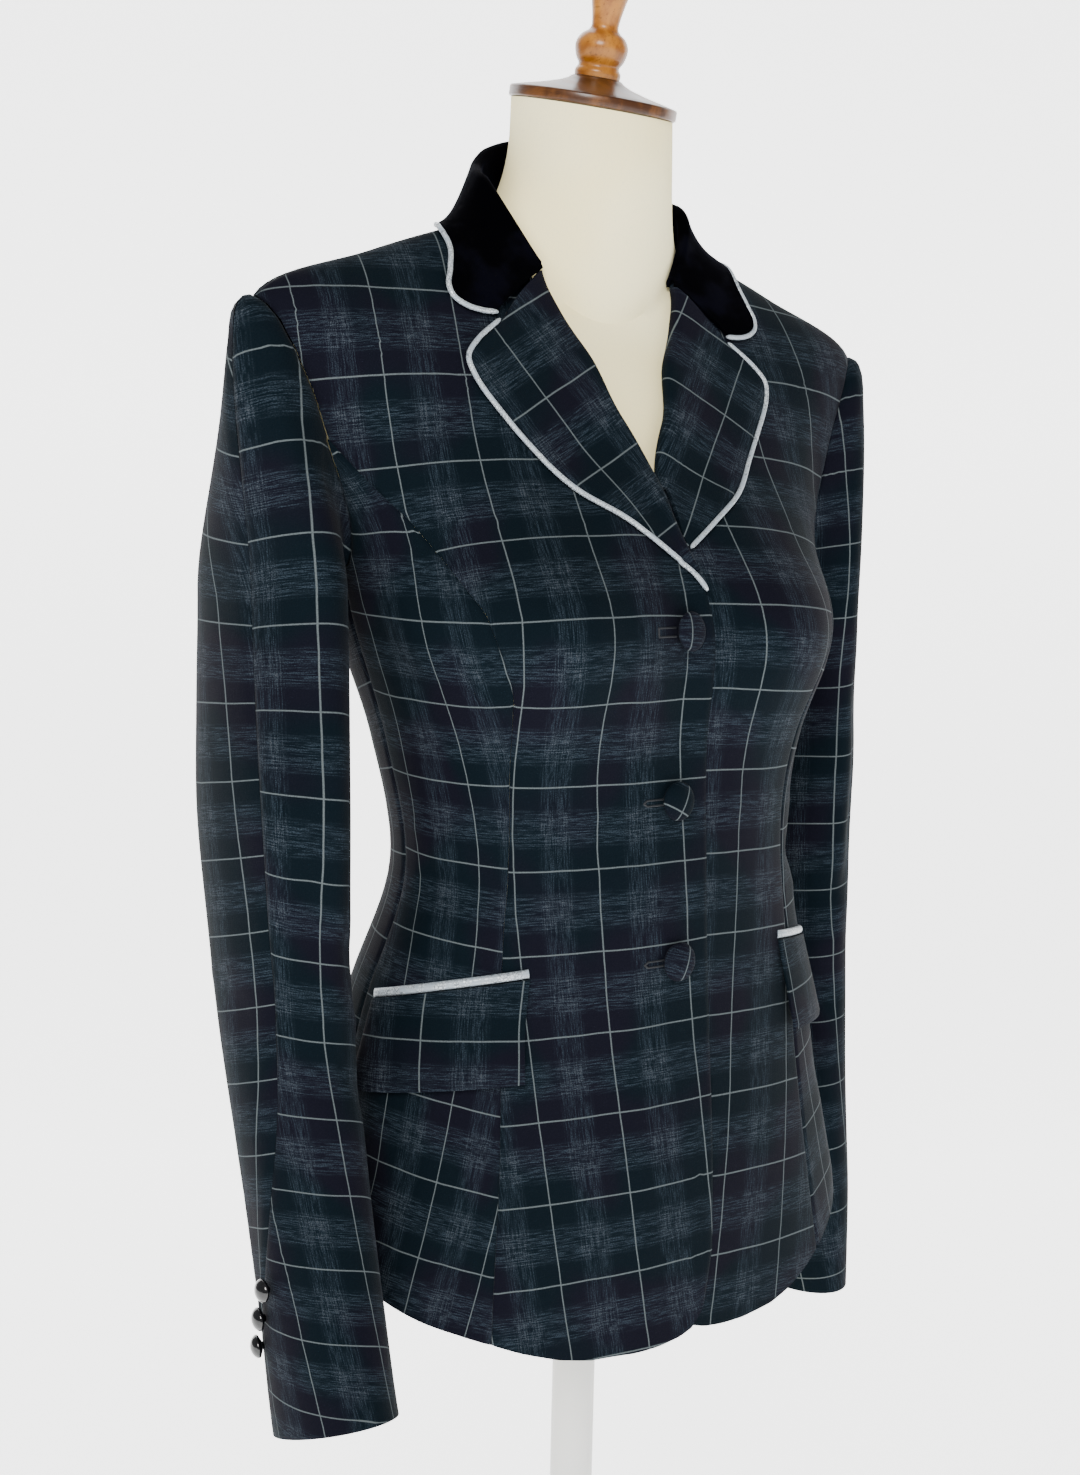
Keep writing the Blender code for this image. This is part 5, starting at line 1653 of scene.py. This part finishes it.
def front_place(level, across, up):
    """(angle, level) at metres towards the wearer's right and up from a button's middle."""
    angle = BUTTON_LINE + degrees_for(across, BUTTON_LINE, level)
    _, climb = steps_on_body(angle, level)
    return np.array([angle, level + up / np.linalg.norm(climb)])


for name, (tall, reach, point) in HOLES.items():
    level = FRONT_BUTTONS[name][0]
    near, far = BUTTON_RADIUS * 0.80, BUTTON_RADIUS + reach
    outline = [(near, tall / 2), (far - point, tall / 2), (far, 0.0), (far - point, -tall / 2),
               (near, -tall / 2)]
    if not point:
        outline = [(near, tall / 2), (far, tall / 2), (far, -tall / 2), (near, -tall / 2)]
    steps = [np.linspace(a, b, 12)[:-1] for a, b in zip(outline, outline[1:])]
    outline = np.concatenate([*steps, [outline[-1]]])
    places = np.array([front_place(level, a, u) for a, u in outline])
    off = LAP + CLOTH + body_creases(-1, on_side(-1, body_at(places))[None])[0]
    line = on_side(-1, body_at(places, off))
    rings = tube_rings(line, HOLE_THREAD, 8, on_side(-1, off_ways(places)))
    belongs(stacked(f"buttonhole_{name}", rings, THREAD_LOOK), "check_cloth")
print("buttonholes:", list(HOLES))

# %% [markdown]
# ## The dress form
# The form follows the inside of the coat at a few millimetres, so the coat fits it and still
# never touches it. It ends at the arms in smooth flat rounds, and its neck rises into a tilted
# wooden cap with a turned finial.

# %% Form, cap, finial, pole and base
CAP_RADIUS, CAP_TILT = 0.0465, 13.7
CAP_CENTRE = np.array((0.0, 0.0109, 1.4310))
POLE_RADIUS = 0.0125
FORM_SIDES, FORM_RINGS = 96, 70
# How far the form lies inside the coat, by level.
FORM_INSET = ((1.42, 0.0200), (2.0, 0.0160), (2.5, 0.0110), (3.0, 0.0075),
              (3.5, 0.0055), (4.0, 0.0045), (4.5, 0.0045), (5.0, 0.0040),
              (5.5, 0.0042), (6.0, 0.0044), (6.5, 0.0042), (7.0, 0.0040),
              (7.5, 0.0036), (8.0, 0.0032), (8.5, 0.0027), (9.0, 0.0022),
              (9.5, 0.0018), (10.0, 0.0018), (10.5, 0.0020), (11.0, 0.0024))
ARM_END, ARM_ROUND = 0.1700, 0.012  # where the form ends at the arms, and how softly
# Profiles of the turned pieces, as (height, radius).
CAP_PROFILE = ((0.0, 0.0457), (0.0004, 0.0463), (0.0010, 0.0465), (0.0050, 0.0465),
               (0.0058, 0.0461), (0.0062, 0.0450), (0.0078, 0.0385), (0.0092, 0.0320),
               (0.0105, 0.0270), (0.0125, 0.0200), (0.0145, 0.0155), (0.0160, 0.0136))
FINIAL = ((0.0, 0.0125), (0.0030, 0.0126), (0.0060, 0.0112), (0.0100, 0.0134),
          (0.0160, 0.0145), (0.0210, 0.0122), (0.0245, 0.0080), (0.0290, 0.0076),
          (0.0400, 0.0098), (0.0480, 0.0125), (0.0540, 0.0122), (0.0590, 0.0085),
          (0.0610, 0.0020))
BASE_PROFILE = ((0.0, 0.1690), (0.0010, 0.1700), (0.0060, 0.1700), (0.0085, 0.1692),
                (0.0105, 0.1668), (0.0130, 0.1600), (0.0138, 0.1200), (0.0150, 0.0500),
                (0.0165, 0.0370), (0.0200, 0.0300), (0.0250, 0.0240), (0.0300, 0.0215),
                (0.0420, 0.0200))


def form_rings():
    """Rings of the form from its flat foot to the end of its neck."""
    turn = np.arange(FORM_SIDES) * 360 / FORM_SIDES
    levels = np.linspace(FORM_INSET[0][0], 11.0, FORM_RINGS)
    insets = smooth([row[0] for row in FORM_INSET], [row[1] for row in FORM_INSET], levels)
    rings = []
    for level, inset in zip(levels, insets):
        ring = body(turn, level, -inset)
        over = np.abs(ring[:, 0]) - (ARM_END - ARM_ROUND)
        held = np.where(over > 0, ARM_ROUND * np.tanh(over / ARM_ROUND), over)
        ring[:, 0] = np.sign(ring[:, 0]) * (held + ARM_END - ARM_ROUND)
        rings.append(ring)
    foot = rings[0][:, 2].mean()
    for ring, share in zip(rings[:4], (0, 0.35, 0.65, 0.9)):
        ring[:, 2] = foot + (ring[:, 2] - foot) * share
    across = np.sin(np.radians(turn))[:, None] * np.array([1.0, 0, 0])
    backward = -np.cos(np.radians(turn))[:, None] * cap_back
    end = CAP_CENTRE - cap_up * 0.0004 + (across + backward) * (CAP_RADIUS - 0.0015)
    before = end + (across + backward) * 0.0004 - np.array([0, 0, 0.016])
    last = rings[-1]
    for share in np.linspace(0, 1, 12)[1:-1]:
        rings.append((1 - share) ** 2 * last + share**2 * before
                     + 2 * share * (1 - share) * (before + across * 0.001 - [0, 0, 0.03]))
    return rings + [before, end], foot


tilt = math.radians(CAP_TILT)
cap_up = np.array([0, -math.sin(tilt), math.cos(tilt)])
cap_back = np.array([0, math.cos(tilt), math.sin(tilt)])
rings, form_foot = form_rings()
belongs(stacked("form", rings, JERSEY_LOOK), "jersey", "form")
belongs(turned("neck_cap", CAP_PROFILE, 128, CAP_CENTRE, cap_up, WALNUT_LOOK), "walnut", "neck_cap")
at = np.linspace(0, len(FINIAL) - 1, 73)
knots = np.arange(len(FINIAL))
fine_finial = np.stack([smooth(knots, [row[k] for row in FINIAL], at) for k in (0, 1)], -1)
finial_place = CAP_CENTRE + cap_up * (CAP_PROFILE[-1][0] + 0.0003)
belongs(turned("finial", fine_finial, 64, finial_place, cap_up, OAK_LOOK), "oak", "finial")
pole_rows = ((0.0425, POLE_RADIUS), (form_foot - 0.0003, POLE_RADIUS))
belongs(turned("pole", pole_rows, 48, (0, 0, 0), (0, 0, 1), PAINT_LOOK), "base_paint", "pole")
belongs(turned("base", BASE_PROFILE, 128, (0, 0, 0), (0, 0, 1), PAINT_LOOK), "base_paint", "base")
for piece in COAT.objects:
    piece.data.set_sharp_from_angle(angle=math.radians(50))
print("form from", round(float(form_foot), 3), "to", round(float(rings[-1][:, 2].max()), 3), "m")

# %% [markdown]
# ## Count
# The finished coat must keep the size of the packed model. The last call counts its pieces and
# their triangles.

# %% Count of pieces and triangles
triangles = {piece.name: sum(len(face.vertices) - 2 for face in piece.data.polygons)
             for piece in COAT.objects}
print("pieces:", len(triangles), "triangles:", sum(triangles.values()), "most:",
      max(triangles, key=triangles.get), max(triangles.values()))
